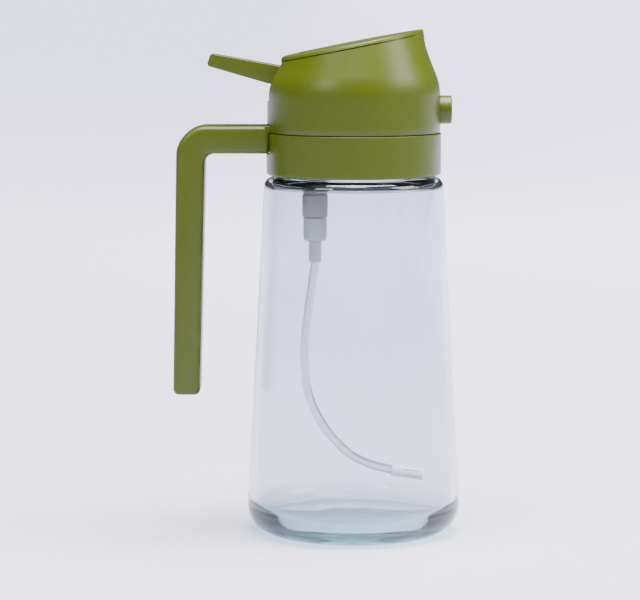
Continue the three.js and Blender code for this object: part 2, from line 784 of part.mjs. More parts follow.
/** Slot in the rear wall that the lever passes through. */
function leverSlot() {
  const edgeX = -coverRadius - leverPivotX;
  const edgeZ = leverRootHeight - leverRootThickness - leverPivotHeight;
  const pressedZ = pivotZ + edgeZ * Math.cos(leverPress) + edgeX * Math.sin(leverPress);
  const halfWidth = leverWidth / 2 + runningFit;
  return {
    bottom: pressedZ - runningFit,
    tool: block(
      vec3(-coverRadius - through, -halfWidth, pressedZ - runningFit),
      vec3(-coverRadius + rearCut, halfWidth, seamZ + leverRootHeight + 2 * runningFit),
    ),
  };
}
const slot = leverSlot();

/** Opening through the slanted top that the pouring channel feeds. */
function mouthOutline(offset) {
  const inset = channelWall + mouthLedge;
  const rear = (channelRearX + inset) / Math.cos(topSlope);
  const front = (channelFrontX - channelWall - mouthFrontLedge) / Math.cos(topSlope);
  const rounding = Math.min(mouthRounding, (front - rear) / 2 - mouthEndFlat);
  return roundedOutline(rear, front, channelWidth / 2 - inset, rounding, rounding, offset);
}

const earEnd = lidBarrelHalfLength + 2 * fit + earLength;

/** Round bar on the lid's hinge line, in the slanted top's own axes. */
function lidPinRod(radius, halfLength) {
  return rodY(radius, -halfLength, halfLength, -lidHingeReach, lidHingeHeight, smallSegments);
}

function coverSolid() {
  const bottom = coverBottom;
  const outer = join(
    turned(domeOutline(0, bottom), roundSegments),
    planPlate(beakOutline(), topZ - beakDepth, topZ + beakDepth),
  );
  const cavity = turned(domeOutline(coverWall, bottom - through), roundSegments);
  const ear = (side) => {
    const y = side * (lidBarrelHalfLength + 2 * fit + earLength / 2);
    const [start, end] = [y - earLength / 2, y + earLength / 2];
    const knuckle = rodY(lidBarrelRadius, start, end, -lidHingeReach, lidHingeHeight);
    const foot = block(
      vec3(-lidHingeReach - lidBarrelRadius, start, -topThickness + embed),
      vec3(-lidHingeReach + lidBarrelRadius, end, lidHingeHeight),
    );
    return onTop(join(knuckle, foot));
  };
  const slotHalf = lidBarrelHalfLength + 2 * fit;
  const slotRear = -lidHingeReach - lidBarrelRadius - runningFit;
  const hingeSlot = block(
    vec3(slotRear, -slotHalf, -topThickness - through),
    vec3(-lidHingeReach + lidRearGap + through, slotHalf, lidSwingHeight),
  );
  const recess = planPlate(lidOutline(runningFit), -lidRecess, lidSwingHeight);
  const grooveStart = channelFrontX - grooveOverlap;
  const grooveEnd = beakReach + grooveOverlap;
  const shell = cut(
    outer,
    aboveTop(0),
    cut(cavity, aboveTop(topThickness)),
    slot.tool,
    onTop(recess),
    onTop(hingeSlot),
    onTop(planPlate(mouthOutline(0), -topThickness - through, through)),
    onTop(rodX(grooveRadius, grooveStart, grooveEnd, 0, 0, smallSegments)),
    rodX(nozzleCapRadius + fit, coverRadius - nozzleCut, coverRadius + through, 0, nozzleZ),
    block(
      vec3(-coverRadius - through, -notchHalfWidth, bottom - through),
      vec3(-coverRadius + rearCut, notchHalfWidth, armTop + fit),
    ),
    ...snapAngles.map((angle) => snapBlock(angle, fit)),
  );
  return cut(join(shell, ear(-1), ear(1)), onTop(lidPinRod(lidPinRadius + fit, earEnd + through)));
}
addPiece('head_cover', coverSolid(), materials.green);

// ---------------------------------------------------------------- flip lid with its pad and pin
function lidSolid() {
  const bottom = -lidRecess + fit;
  const top = bottom + lidThickness;
  const plate = planPlate(lidOutline(0), bottom, top);
  const barrel = rodY(
    lidBarrelRadius, -lidBarrelHalfLength, lidBarrelHalfLength, -lidHingeReach, lidHingeHeight,
  );
  const tab = block(
    vec3(-lidHingeReach, -lidBarrelHalfLength, bottom),
    vec3(-lidHingeReach + lidRearGap + lidTabOverlap, lidBarrelHalfLength, top),
  );
  return onTop(cut(join(plate, barrel, tab), lidPinRod(lidPinRadius + fit, earEnd)));
}
addPiece('flip_lid', lidSolid(), materials.green);
addPiece('lid_pad', onTop(
  planPlate(mouthOutline(-lidPadGap), -lidRecess - lidPadThickness, -lidRecess),
), materials.rubber);
addPiece('lid_pin', onTop(lidPinRod(lidPinRadius, earEnd - fit)), materials.steel);

// ---------------------------------------------------------------- pouring channel
function channelSolid() {
  const flangeZ = seamZ + fit;
  const outer = join(
    planPlate(channelOutline(0), deckBottom, topZ + topHeight),
    planPlate(channelOutline(channelFlange), flangeZ, flangeZ + flangeThickness),
  );
  return cut(
    outer,
    planPlate(channelOutline(-channelWall), deckBottom - through, topZ + topHeight + through),
    aboveTop(topThickness + fit),
  );
}
addPiece('pour_channel', channelSolid(), materials.green);

// ---------------------------------------------------------------- thumb lever and its pin
/** Side profile of the lever from the thumb pad to the hub. */
function leverProfile() {
  const rootTop = seamZ + leverRootHeight;
  const rootBottom = rootTop - leverRootThickness;
  const tipTop = seamZ + leverTipHeight;
  const contactZ = plungerTop + fit;
  const contactHalf = plungerHeadRadius + through;
  return roundedCorners([
    [leverTipX, tipTop, leverTipRounding],
    [leverRootX, rootTop, leverRootRounding],
    [leverPivotX - leverCrestSetback, pivotZ + leverCrestRise, leverEdgeRounding],
    [leverPivotX, pivotZ + leverHubRadius, 0],
    [leverPivotX, pivotZ - leverHubRadius, 0],
    [pumpX + contactHalf, contactZ, 0],
    [pumpX - contactHalf, contactZ, 0],
    [leverRootX + leverBellyInset, rootBottom - leverBellyDrop, leverEdgeRounding],
    [leverRootX - leverRootSetback, rootBottom, leverEdgeRounding],
    [leverTipX - leverTipRake, tipTop - leverTipThickness, leverTipRounding],
  ]);
}

/** Curved guard under the lever that closes the slot, concentric with the hinge. */
function leverApron() {
  const from = Math.PI - apronRise;
  const to = Math.PI + Math.asin((pivotZ - slot.bottom + apronOverlap) / apronReach);
  const shape = new THREE.Shape();
  shape.absarc(leverPivotX, pivotZ, apronReach, from, to);
  shape.absarc(leverPivotX, pivotZ, apronReach - apronThickness, to, from, true);
  return sidePlate(shape, leverWidth);
}

addPiece('thumb_lever', cut(
  join(
    sidePlate(leverProfile(), leverWidth),
    rodY(leverHubRadius, -leverWidth / 2, leverWidth / 2, leverPivotX, pivotZ),
    leverApron(),
  ),
  rodY(leverPinRadius + fit, -leverWidth, leverWidth, leverPivotX, pivotZ),
), materials.green);
addPiece('lever_pin', rodY(leverPinRadius, -leverPinHalf, leverPinHalf, leverPivotX, pivotZ),
  materials.steel);

// ---------------------------------------------------------------- pump cylinder
function flangeOutline() {
  const shape = new THREE.Shape();
  const tangent = Math.acos((pumpFlangeRadius - pumpEarRadius) / pumpEarY);
  const up = Math.PI / 2;
  shape.absarc(pumpX, pumpEarY, pumpEarRadius, up - tangent, up + tangent);
  shape.absarc(pumpX, 0, pumpFlangeRadius, up + tangent, 3 * up - tangent);
  shape.absarc(pumpX, -pumpEarY, pumpEarRadius, 3 * up - tangent, 3 * up + tangent);
  shape.absarc(pumpX, 0, pumpFlangeRadius, -up + tangent, up - tangent);
  return shape;
}

function pumpSolid() {
  const bottom = seamZ - riserDrop;
  const riserTop = seamZ + riserHeight;
  const portZ = boreBottom + portLift;
  const whole = join(
    rod(pumpRadius, cylinderBottom, boreTop, pumpX),
    planPlate(flangeOutline(), flangeBottom, flangeTop),
    rod(riserRadius, bottom, riserTop, riserX, 0),
    rodY(spigotRadius, -riserRadius - hoseGrip - fit, 0, riserX, spigotZ, smallSegments),
  );
  const ears = [-pumpEarY, pumpEarY];
  return cut(
    whole,
    rod(pumpBore, boreBottom, boreTop + through, pumpX),
    rod(inletPortRadius, cylinderBottom, boreBottom + through, pumpX, 0, smallSegments),
    rod(socketRadius, cylinderBottom - through, cylinderBottom + socketDepth, pumpX),
    rodX(riserBore, pumpX, riserX, 0, portZ, smallSegments),
    rod(riserBore, portZ - riserBore, spigotZ + embed, riserX, 0, smallSegments),
    rod(ballChamberRadius, outletSeatZ, outletSeatZ + outletChamberLength, riserX, 0, smallSegments),
    rodY(spigotBore, -riserRadius - hoseGrip - through, 0, riserX, spigotZ, boreSegments),
    ...ears.map((y) => screwHole([pumpX, y], flangeBottom - through, flangeTop + through)),
  );
}
addPiece('pump_cylinder', pumpSolid(), materials.grey);

addPiece('pump_gasket', cut(
  rod(pumpFlangeRadius - fit, seamZ + fit, seamZ + fit + pumpGasketThickness, pumpX),
  rod(pumpRadius + fit, seamZ, flangeBottom, pumpX),
  rod(riserRadius + fit, seamZ, flangeBottom, riserX),
), materials.rubber);

// ---------------------------------------------------------------- plunger
const buttonTop = sealTop - sealHeight - fit;
addPiece('plunger_rod', turned([
  vec2(0, buttonTop - buttonThickness),
  vec2(buttonRadius, buttonTop - buttonThickness),
  vec2(buttonRadius, buttonTop),
  vec2(rodTipRadius, buttonTop),
  vec2(rodTipRadius, sealTop + fit),
  vec2(rodRadius, sealTop + fit),
  vec2(rodRadius, plungerHeadBottom),
  vec2(plungerHeadRadius, plungerHeadBottom),
  vec2(plungerHeadRadius, plungerHeadBottom + plungerHeadThickness),
  vec2(crownRadius, plungerTop - crownDrop),
  vec2(0, plungerTop),
], midSegments, pumpX), materials.white);

addPiece('plunger_seal', turned([
  vec2(rodTipRadius + fit, sealTop - sealHeight),
  vec2(pumpBore - fit, sealTop - sealHeight),
  vec2(pumpBore - fit, sealTop - sealHeight + sealLip),
  vec2(pumpBore - sealWaist, sealTop - sealHeight / 2),
  vec2(pumpBore - fit, sealTop - sealLip),
  vec2(pumpBore - fit, sealTop),
  vec2(rodTipRadius + fit, sealTop),
], midSegments, pumpX), materials.rubber);

addPiece('plunger_guide', turned([
  vec2(rodRadius + fit, boreTop - guideDepth),
  vec2(pumpBore - fit, boreTop - guideDepth),
  vec2(pumpBore - fit, boreTop + fit),
  vec2(guideRadius, boreTop + fit),
  vec2(guideRadius, guideTop),
  vec2(rodRadius + fit, guideTop),
], midSegments, pumpX), materials.white);

const springBottom = guideTop + fit + springWireRadius;
const springTop = plungerHeadBottom - fit - springWireRadius;
const springCoil = new Helix(
  springRadius, springBottom, (springTop - springBottom) / springTurns, springTurns, pumpX,
);
addPiece('return_spring', pipe(
  springCoil, springWireRadius, springTurns * coilSteps, ridgeSides,
), materials.steel);

// ---------------------------------------------------------------- suction side
const inletSeatZ = housingBottom + inletSeatLift;
addPiece('valve_housing', turned([
  vec2(tubeRadius + fit, stemBottom),
  vec2(stemRadius, stemBottom),
  vec2(stemRadius, housingBottom),
  vec2(housingRadius - housingEdge, housingBottom),
  vec2(housingRadius, housingBottom + housingEdge),
  vec2(housingRadius, housingTop),
  vec2(socketRadius - fit, housingTop),
  vec2(socketRadius - fit, cylinderBottom + socketDepth - fit),
  vec2(inletChamberRadius, cylinderBottom + socketDepth - fit),
  vec2(inletChamberRadius, inletSeatZ + inletSeatCone),
  vec2(inletSeatBore, inletSeatZ),
  vec2(inletSeatBore, stemBottom + tubeInsertion + fit),
  vec2(tubeRadius + fit, stemBottom + tubeInsertion + fit),
], midSegments, pumpX), materials.white);

function ballAt(radius, x, z) {
  return solid(new THREE.SphereGeometry(radius, midSegments, ballRings).translate(x, 0, z));
}
const seatedHeight = (radius, bore) => Math.sqrt((radius + fit / 2) ** 2 - bore ** 2);
const inletBallZ = inletSeatZ + seatedHeight(inletBallRadius, inletSeatBore);
const outletBallZ = outletSeatZ + seatedHeight(outletBallRadius, riserBore);
addPiece('inlet_ball', ballAt(inletBallRadius, pumpX, inletBallZ), materials.steel);
addPiece('outlet_ball', ballAt(outletBallRadius, riserX, outletBallZ), materials.steel);

const tubePoints = [
  vec3(pumpX, 0, stemBottom + tubeInsertion),
  vec3(pumpX, 0, stemBottom),
  ...tubeRoute.map(([offset, share]) => vec3(pumpX + offset, 0, share * stemBottom)),
];
const tubeCurve = new THREE.CatmullRomCurve3(tubePoints);
addPiece('dip_tube', pipe(tubeCurve, tubeRadius, tubeSteps, tubeSides, tubeBore), materials.tube);

/** Slotted sleeve over the tube's lower end, in line with that end. */
function strainerSolid() {
  const start = -strainerSleeve;
  const whole = cut(
    rodX(strainerRadius, start, start + strainerLength, 0, 0),
    rodX(tubeRadius + fit, start - through, fit, 0, 0),
    rodX(tubeBore, 0, start + strainerLength - strainerEndWall, 0, 0, smallSegments),
  );
  const outside = strainerRadius + through;
  const slots = [0, 1].map((turn) => {
    const slit = strainerSlotWidth / 2;
    const half = turn === 0 ? vec2(slit, outside) : vec2(outside, slit);
    return block(
      vec3(strainerSlotStart, -half.x, -half.y),
      vec3(strainerSlotStart + strainerSlotLength, half.x, half.y),
    );
  });
  const end = tubeCurve.getPoint(1);
  const along = tubeCurve.getTangent(1);
  const tilt = Math.atan2(-along.z, along.x);
  return solid(geometryOf(cut(whole, ...slots)).rotateY(tilt).translate(end.x, end.y, end.z));
}
addPiece('intake_strainer', strainerSolid(), materials.white);

// ---------------------------------------------------------------- outlet hose
function hoseCurve() {
  const startY = -riserRadius - 2 * fit;
  const endY = -nozzleBodyRadius - 2 * fit;
  const runY = -(leverPinHalf + hoseRadius + hosePostClearance);
  const bendY = runY + hoseBend;
  const midY = bendY - hoseBend * Math.SQRT1_2;
  const midX = hoseBend * (1 - Math.SQRT1_2);
  const rise = nozzleZ - spigotZ;
  const points = [
    vec3(riserX, startY, spigotZ),
    vec3(riserX, bendY, spigotZ),
    vec3(riserX + midX, midY, spigotZ),
    vec3(riserX + hoseBend, runY, spigotZ + rise * hoseEase),
    vec3((riserX + nozzleInletX) / 2, runY, spigotZ + rise / 2),
    vec3(nozzleInletX - hoseBend, runY, nozzleZ - rise * hoseEase),
    vec3(nozzleInletX - midX, midY, nozzleZ),
    vec3(nozzleInletX, bendY, nozzleZ),
    vec3(nozzleInletX, endY, nozzleZ),
  ];
  return new THREE.CatmullRomCurve3(points);
}
addPiece('outlet_hose', pipe(
  hoseCurve(), hoseRadius, hoseSteps, tubeSides, hoseBore,
), materials.tube);

// ---------------------------------------------------------------- spray nozzle
function nozzleBodySolid() {
  const back = nozzleBodyFront - nozzleBodyLength;
  const whole = join(
    rodX(nozzleBodyRadius, back, nozzleBodyFront, 0, nozzleZ),
    rodY(spigotRadius, -nozzleBodyRadius - hoseGrip - fit, 0, nozzleInletX, nozzleZ, smallSegments),
  );
  return cut(
    whole,
    rodX(nozzleBore, nozzleInletX - through, nozzleBodyFront + through, 0, nozzleZ, smallSegments),
    rodY(spigotBore, -nozzleBodyRadius - hoseGrip - through, 0, nozzleInletX, nozzleZ, boreSegments),
  );
}
addPiece('nozzle_body', nozzleBodySolid(), materials.white);

const insertBack = nozzleBodyFront + fit;
addPiece('nozzle_insert', cut(
  rodX(nozzleBodyRadius, insertBack, insertBack + insertThickness, 0, nozzleZ),
  rodX(orificeRadius, nozzleBodyFront, nozzleFaceX, 0, nozzleZ, boreSegments),
), materials.white);

function nozzleCapSolid() {
  const back = nozzleFaceX - nozzleCapLength;
  const inside = nozzleFaceX - nozzleCapWall;
  const edgeX = nozzleFaceX - nozzleCapEdge;
  const edgeRadius = nozzleCapRadius - nozzleCapEdge;
  const mouthX = nozzleFaceX - orificeMouthDepth;
  return cut(
    join(
      rodX(nozzleCapRadius, back, edgeX, 0, nozzleZ),
      rodX(nozzleCapRadius, edgeX, nozzleFaceX, 0, nozzleZ, midSegments, edgeRadius),
    ),
    rodX(nozzleBodyRadius + fit, back - through, inside, 0, nozzleZ),
    rodX(orificeRadius, inside - through, nozzleFaceX, 0, nozzleZ, boreSegments),
    rodX(orificeRadius, mouthX, nozzleFaceX, 0, nozzleZ, smallSegments, orificeMouthRadius),
  );
}
addPiece('nozzle_cap', nozzleCapSolid(), materials.green);

export default bottle;
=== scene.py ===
"""Kitchen oil bottle that sprays and pours: its thirty pieces, in the order they are put together.

Metres, +Z up, origin at the centre of the bottle's base, +X towards the nozzle and the pouring beak.
"""
import math

import bmesh
import bpy
from mathutils import Matrix, Vector


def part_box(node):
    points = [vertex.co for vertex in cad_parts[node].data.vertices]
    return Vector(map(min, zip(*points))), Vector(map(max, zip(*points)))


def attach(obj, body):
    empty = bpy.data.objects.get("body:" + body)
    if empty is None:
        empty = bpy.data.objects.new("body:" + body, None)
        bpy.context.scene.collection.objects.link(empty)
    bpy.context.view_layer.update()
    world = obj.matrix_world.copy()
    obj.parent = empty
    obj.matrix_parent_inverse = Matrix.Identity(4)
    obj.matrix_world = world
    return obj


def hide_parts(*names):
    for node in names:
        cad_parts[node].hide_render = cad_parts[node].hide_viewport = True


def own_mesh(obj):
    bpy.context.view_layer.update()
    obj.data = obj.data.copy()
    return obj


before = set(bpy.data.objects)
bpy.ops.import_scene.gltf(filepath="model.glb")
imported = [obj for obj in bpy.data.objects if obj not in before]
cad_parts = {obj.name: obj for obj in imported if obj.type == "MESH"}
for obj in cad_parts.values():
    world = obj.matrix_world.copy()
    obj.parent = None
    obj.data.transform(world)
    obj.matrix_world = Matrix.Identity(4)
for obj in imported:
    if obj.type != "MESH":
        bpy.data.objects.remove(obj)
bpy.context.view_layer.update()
mm = 0.001


# Glass bottle. Pressed soda-lime glass, 2.8 mm thick in the wall and 6 mm in the floor, with a
# one-turn screw thread on its neck. Its iron gives the thick heel a green-blue tint, and the mould
# leaves the wall very slightly wavy.
def linear(hex_colour):
    """Linear colour of an sRGB hex value, with alpha 1."""
    parts = [int(hex_colour[i:i + 2], 16) / 255 for i in (1, 3, 5)]
    return [c / 12.92 if c <= 0.04045 else ((c + 0.055) / 1.055) ** 2.4 for c in parts] + [1.0]


def node(tree, kind, sockets=None, **settings):
    """Adds one node: its settings, then each input's constant or the output that feeds it."""
    new = tree.nodes.new(kind)
    for name, value in settings.items():
        setattr(new, name, value)
    for name, value in (sockets or {}).items():
        if isinstance(value, bpy.types.NodeSocket):
            tree.links.new(value, new.inputs[name])
        else:
            new.inputs[name].default_value = value
    return new


def new_material(name):
    """An empty material and its node tree."""
    material = bpy.data.materials.new(name)
    material.use_nodes = True
    material.node_tree.nodes.clear()
    return material, material.node_tree


def lit_through(tree, body, colour):
    """The body's shader, but light passes to what stands behind and inside, a little dimmed."""
    clear = node(tree, "ShaderNodeBsdfTransparent", {"Color": linear(colour)})
    path = node(tree, "ShaderNodeLightPath")
    return node(tree, "ShaderNodeMixShader", {
        0: path.outputs["Is Shadow Ray"], 1: body.outputs["BSDF"], 2: clear.outputs["BSDF"]})


sharp_angle = math.radians(32)


def object_from(name, points, faces):
    """A mesh object with doubles merged and its faces turned outwards, smooth but for real edges."""
    mesh = bpy.data.meshes.new(name)
    mesh.from_pydata(points, [], faces)
    work = bmesh.new()
    work.from_mesh(mesh)
    bmesh.ops.remove_doubles(work, verts=work.verts, dist=1e-7)
    bmesh.ops.dissolve_degenerate(work, dist=1e-8, edges=work.edges)
    bmesh.ops.recalc_face_normals(work, faces=work.faces)
    work.to_mesh(mesh)
    work.free()
    mesh.shade_smooth()
    mesh.set_sharp_from_angle(angle=sharp_angle)
    piece = bpy.data.objects.new(name, mesh)
    bpy.context.scene.collection.objects.link(piece)
    return piece


def rounded(corners, steps=6, closed=True):
    """Outline through corners (x, y, radius), with an arc of that radius at each of them."""
    points = []
    for i, (x, y, radius) in enumerate(corners):
        here = Vector((x, y))
        if radius == 0 or (not closed and i in (0, len(corners) - 1)):
            points.append(here)
            continue
        back = (Vector(corners[i - 1][:2]) - here).normalized()
        ahead = (Vector(corners[(i + 1) % len(corners)][:2]) - here).normalized()
        half = back.angle(ahead) / 2
        centre = here + (back + ahead).normalized() * radius / math.sin(half)
        start = here + back * radius / math.tan(half) - centre
        end = here + ahead * radius / math.tan(half) - centre
        first = math.atan2(start.y, start.x)
        turn = math.atan2(start.x * end.y - start.y * end.x, start.dot(end))
        for step in range(steps + 1):
            angle = first + turn * step / steps
            points.append(centre + radius * Vector((math.cos(angle), math.sin(angle))))
    return points


def filled_in(outline, longest):
    """The outline with points added so that no stretch of it is longer than that."""
    points = []
    for start, end in zip(outline, outline[1:]):
        spans = max(1, math.ceil((end - start).length / longest))
        points += [start.lerp(end, step / spans) for step in range(spans)]
    return points + [outline[-1]]


def lofted(name, rings, ends):
    """Mesh through closed rings of points; ends is 'capped', 'open' or 'loop'."""
    count = len(rings[0])
    points = [point for ring in rings for point in ring]
    faces = []
    for i in range(len(rings) if ends == "loop" else len(rings) - 1):
        below, above = i * count, (i + 1) % len(rings) * count
        for j in range(count):
            k = (j + 1) % count
            faces.append((below + j, below + k, above + k, above + j))
    if ends == "capped":
        faces.append(tuple(reversed(range(count))))
        faces.append(tuple(range(len(points) - count, len(points))))
    return object_from(name, points, faces)


def turned(name, outline, swell=None, segments=128, centre=(0, 0), loop=False):
    """Body turned about an upright axis; swell(radius, height, angle) gives each point's own radius."""
    rings = []
    for radius, height in outline:
        ring = []
        for step in range(segments):
            angle = 2 * math.pi * step / segments
            reach = swell(radius, height, angle) if swell else radius
            ring.append((centre[0] + reach * math.cos(angle),
                         centre[1] + reach * math.sin(angle), height))
        rings.append(ring)
    return lofted(name, rings, "loop" if loop else "open")


def bead(angle, height, start, radius):
    """How far a one-start thread's round bead stands out at an angle and a height."""
    proud = 0
    for turn in (0, 1):
        travel = angle / (2 * math.pi) + turn
        ease = min(travel / thread_run_out, (thread_turns - travel) / thread_run_out, 1)
        away = height - start - thread_pitch * travel
        if ease > 0 and abs(away) < radius:
            proud = max(proud, ease * (math.sqrt(radius ** 2 - away ** 2) - thread_sink))
    return proud


glass_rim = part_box("glass_bottle")[1].z
base_radius = 41 * mm
heel_radius = 11 * mm
inner_heel_radius = 8 * mm
shoulder_rounding = 3.6 * mm
cone_lean = math.radians(3.07)
neck_radius = 24.4 * mm
neck_height = 13.2 * mm
neck_wall = 3.5 * mm
glass_wall = 2.8 * mm
glass_floor = 6 * mm
shoulder_top = glass_rim - neck_height
thread_pitch = 4.5 * mm
thread_turns = 1.1
thread_run_out = 0.08
thread_sink = 0.1 * mm
glass_thread_start = shoulder_top + 5.2 * mm
glass_bead = 1.4 * mm


def cone_radius(height, inset=0.0):
    """Radius of the cone-shaped wall at a height, inset by a wall."""
    return base_radius + (heel_radius - height) * math.tan(cone_lean) - inset


glass_outline = rounded([
    (0, 0, 0),
    (cone_radius(0), 0, heel_radius),
    (cone_radius(shoulder_top), shoulder_top, shoulder_rounding),
    (neck_radius, shoulder_top, 1.2 * mm),
    (neck_radius, glass_rim, 0.8 * mm),
    (neck_radius - neck_wall, glass_rim, 0.8 * mm),
    (neck_radius - neck_wall, shoulder_top - glass_wall, 1.2 * mm),
    (cone_radius(shoulder_top - glass_wall, glass_wall), shoulder_top - glass_wall, 1.6 * mm),
    (cone_radius(glass_floor, glass_wall), glass_floor, inner_heel_radius),
    (0, glass_floor, 0),
], steps=14, closed=False)
neck_rows = filled_in([Vector((neck_radius, shoulder_top + 1.3 * mm)),
                       Vector((neck_radius, glass_rim - 0.9 * mm))], 0.3 * mm)
first_above = next(i for i, point in enumerate(glass_outline) if point.y > glass_rim - 0.9 * mm)
glass_outline = glass_outline[:first_above] + neck_rows + glass_outline[first_above:]


def glass_swell(radius, height, angle):
    """The neck's outer face carries the thread."""
    if abs(radius - neck_radius) > 0.01 * mm:
        return radius
    return radius + bead(angle, height, glass_thread_start, glass_bead)


glass_bottle = turned("glass_bottle_body", glass_outline, glass_swell, segments=192)

soda_glass, tree = new_material("soda_lime_glass")
place = node(tree, "ShaderNodeTexCoord").outputs["Object"]
wave_scale = 1 / (16 * mm)
stretch = node(tree, "ShaderNodeMapping", {"Vector": place, "Scale": (1, 1, 0.35)})
waves = node(tree, "ShaderNodeTexNoise", {
    "Vector": stretch.outputs["Vector"], "Scale": wave_scale, "Detail": 2.0, "Roughness": 0.4})
ripple = node(tree, "ShaderNodeBump", {
    "Height": waves.outputs["Fac"], "Strength": 0.35, "Distance": 0.25 * mm})
glass = node(tree, "ShaderNodeBsdfPrincipled", {
    "Base Color": linear("#e9e7f0"), "Roughness": 0.0, "IOR": 1.5, "Transmission Weight": 1.0,
    "Normal": ripple.outputs["Normal"]})
surface = lit_through(tree, glass, "#dfe4e6")
tint = node(tree, "ShaderNodeVolumeAbsorption", {"Color": linear("#7cc0b8"), "Density": 34.0})
node(tree, "ShaderNodeOutputMaterial", {
    "Surface": surface.outputs["Shader"], "Volume": tint.outputs["Volume"]})
glass_bottle.data.materials.append(soda_glass)
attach(glass_bottle, "bottle")
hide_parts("glass_bottle")


# Neck gasket, pump gasket, plunger seal and the lid's pad. Moulded silicone rubber, dark grey and
# matt, a little dusty. They stay as they were designed, squeezed between their neighbours.
def dress(name, material):
    """Gives a part of the frame its finish."""
    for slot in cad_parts[name].material_slots:
        slot.material = material


silicone, tree = new_material("silicone_rubber")
place = node(tree, "ShaderNodeTexCoord").outputs["Object"]
dust = node(tree, "ShaderNodeTexNoise", {"Vector": place, "Scale": 1 / (2 * mm), "Detail": 4.0})
shade = node(tree, "ShaderNodeMix", {
    "Factor": dust.outputs["Fac"], "A": linear("#2b2c2b"), "B": linear("#3d3e3b")}, data_type="RGBA")
grain = node(tree, "ShaderNodeBump", {
    "Height": dust.outputs["Fac"], "Strength": 0.3, "Distance": 0.05 * mm})
rubber = node(tree, "ShaderNodeBsdfPrincipled", {
    "Base Color": shade.outputs["Result"], "Roughness": 0.72, "IOR": 1.41,
    "Normal": grain.outputs["Normal"]})
node(tree, "ShaderNodeOutputMaterial", {"Surface": rubber.outputs["BSDF"]})
for name in ("neck_gasket", "pump_gasket", "plunger_seal", "lid_pad"):
    dress(name, silicone)


# Collar. Injection-moulded olive ABS: two skirts under a deck, the inner one threaded for the neck.
# On the deck stand the lever's two posts, the nozzle's cradle and the rib that the cover snaps on;
# screw bosses hang under it. The satin surface comes from a spark-eroded mould.
def moulded_plastic(name, light, dark, roughness, ior, through=0.0, grain_size=0.9 * mm):
    """Injection-moulded plastic: faint flow shading, uneven gloss and the mould's fine grain."""
    material, tree = new_material(name)
    place = node(tree, "ShaderNodeTexCoord").outputs["Object"]
    flow = node(tree, "ShaderNodeTexNoise", {
        "Vector": place, "Scale": 1 / (22 * mm), "Detail": 3.0, "Roughness": 0.55})
    colour = node(tree, "ShaderNodeMix", {
        "Factor": flow.outputs["Fac"], "A": linear(dark), "B": linear(light)}, data_type="RGBA")
    patches = node(tree, "ShaderNodeTexNoise", {"Vector": place, "Scale": 1 / (7 * mm), "Detail": 2.0})
    gloss = node(tree, "ShaderNodeMapRange", {
        "Value": patches.outputs["Fac"], "To Min": roughness - 0.04, "To Max": roughness + 0.04})
    # The real grain is about 0.1 mm and wouldn't show, so it is drawn coarser.
    fine = node(tree, "ShaderNodeTexNoise", {
        "Vector": place, "Scale": 1 / grain_size, "Detail": 5.0, "Roughness": 0.6})
    grain = node(tree, "ShaderNodeBump", {
        "Height": fine.outputs["Fac"], "Strength": 0.25, "Distance": 0.03 * mm})
    body = node(tree, "ShaderNodeBsdfPrincipled", {
        "Base Color": colour.outputs["Result"], "Roughness": gloss.outputs["Result"], "IOR": ior,
        "Transmission Weight": through, "Normal": grain.outputs["Normal"]})
    node(tree, "ShaderNodeOutputMaterial", {"Surface": body.outputs["BSDF"]})
    return material


def plain_mesh(piece):
    """Turns what the modifiers show into the piece's own mesh and removes them."""
    shown = piece.evaluated_get(bpy.context.evaluated_depsgraph_get())
    mesh = bpy.data.meshes.new_from_object(shown)
    piece.modifiers.clear()
    piece.data = mesh
    mesh.name = piece.name
    mesh.shade_smooth()
    mesh.set_sharp_from_angle(angle=sharp_angle)


def worked(piece, operation, tools):
    """Joins solids to the piece or cuts them from it; the tools are used up."""
    for tool in tools:
        step = piece.modifiers.new(tool.name, "BOOLEAN")
        step.operation = operation
        step.solver = "EXACT"
        step.object = tool
    plain_mesh(piece)
    for tool in tools:
        bpy.data.objects.remove(tool)


def plate(name, outline, low, high, axis="Y", edge=0.0, steps=4):
    """Flat outline given a thickness along an axis, with its rims rounded."""
    at = {
        "X": lambda u, v, w: (w, u, v),
        "Y": lambda u, v, w: (u, w, v),
        "Z": lambda u, v, w: (u, v, w),
    }[axis]
    piece = lofted(name, [[at(u, v, w) for u, v in outline] for w in (low, high)], "capped")
    if edge:
        rim = piece.modifiers.new("rim", "BEVEL")
        rim.width = edge
        rim.segments = steps
        rim.limit_method = "ANGLE"
        rim.angle_limit = math.radians(50)
        plain_mesh(piece)
    return piece


def block(name, low, high, edge=0.0):
    """Rectangular block between two corners."""
    outline = [(low[0], low[1]), (high[0], low[1]), (high[0], high[1]), (low[0], high[1])]
    return plate(name, outline, low[2], high[2], "Z", edge, 3)


def bar(name, radius, low, high, at, axis, edge=0.0, segments=48):
    """Round bar along an axis between two stations; at is its centre in the other two directions."""
    ring = [(at[0] + radius * math.cos(2 * math.pi * i / segments),
             at[1] + radius * math.sin(2 * math.pi * i / segments)) for i in range(segments)]
    return plate(name, ring, low, high, axis, edge, 3)


olive_abs = moulded_plastic("olive_abs", "#414b04", "#3b4502", 0.37, 1.37)

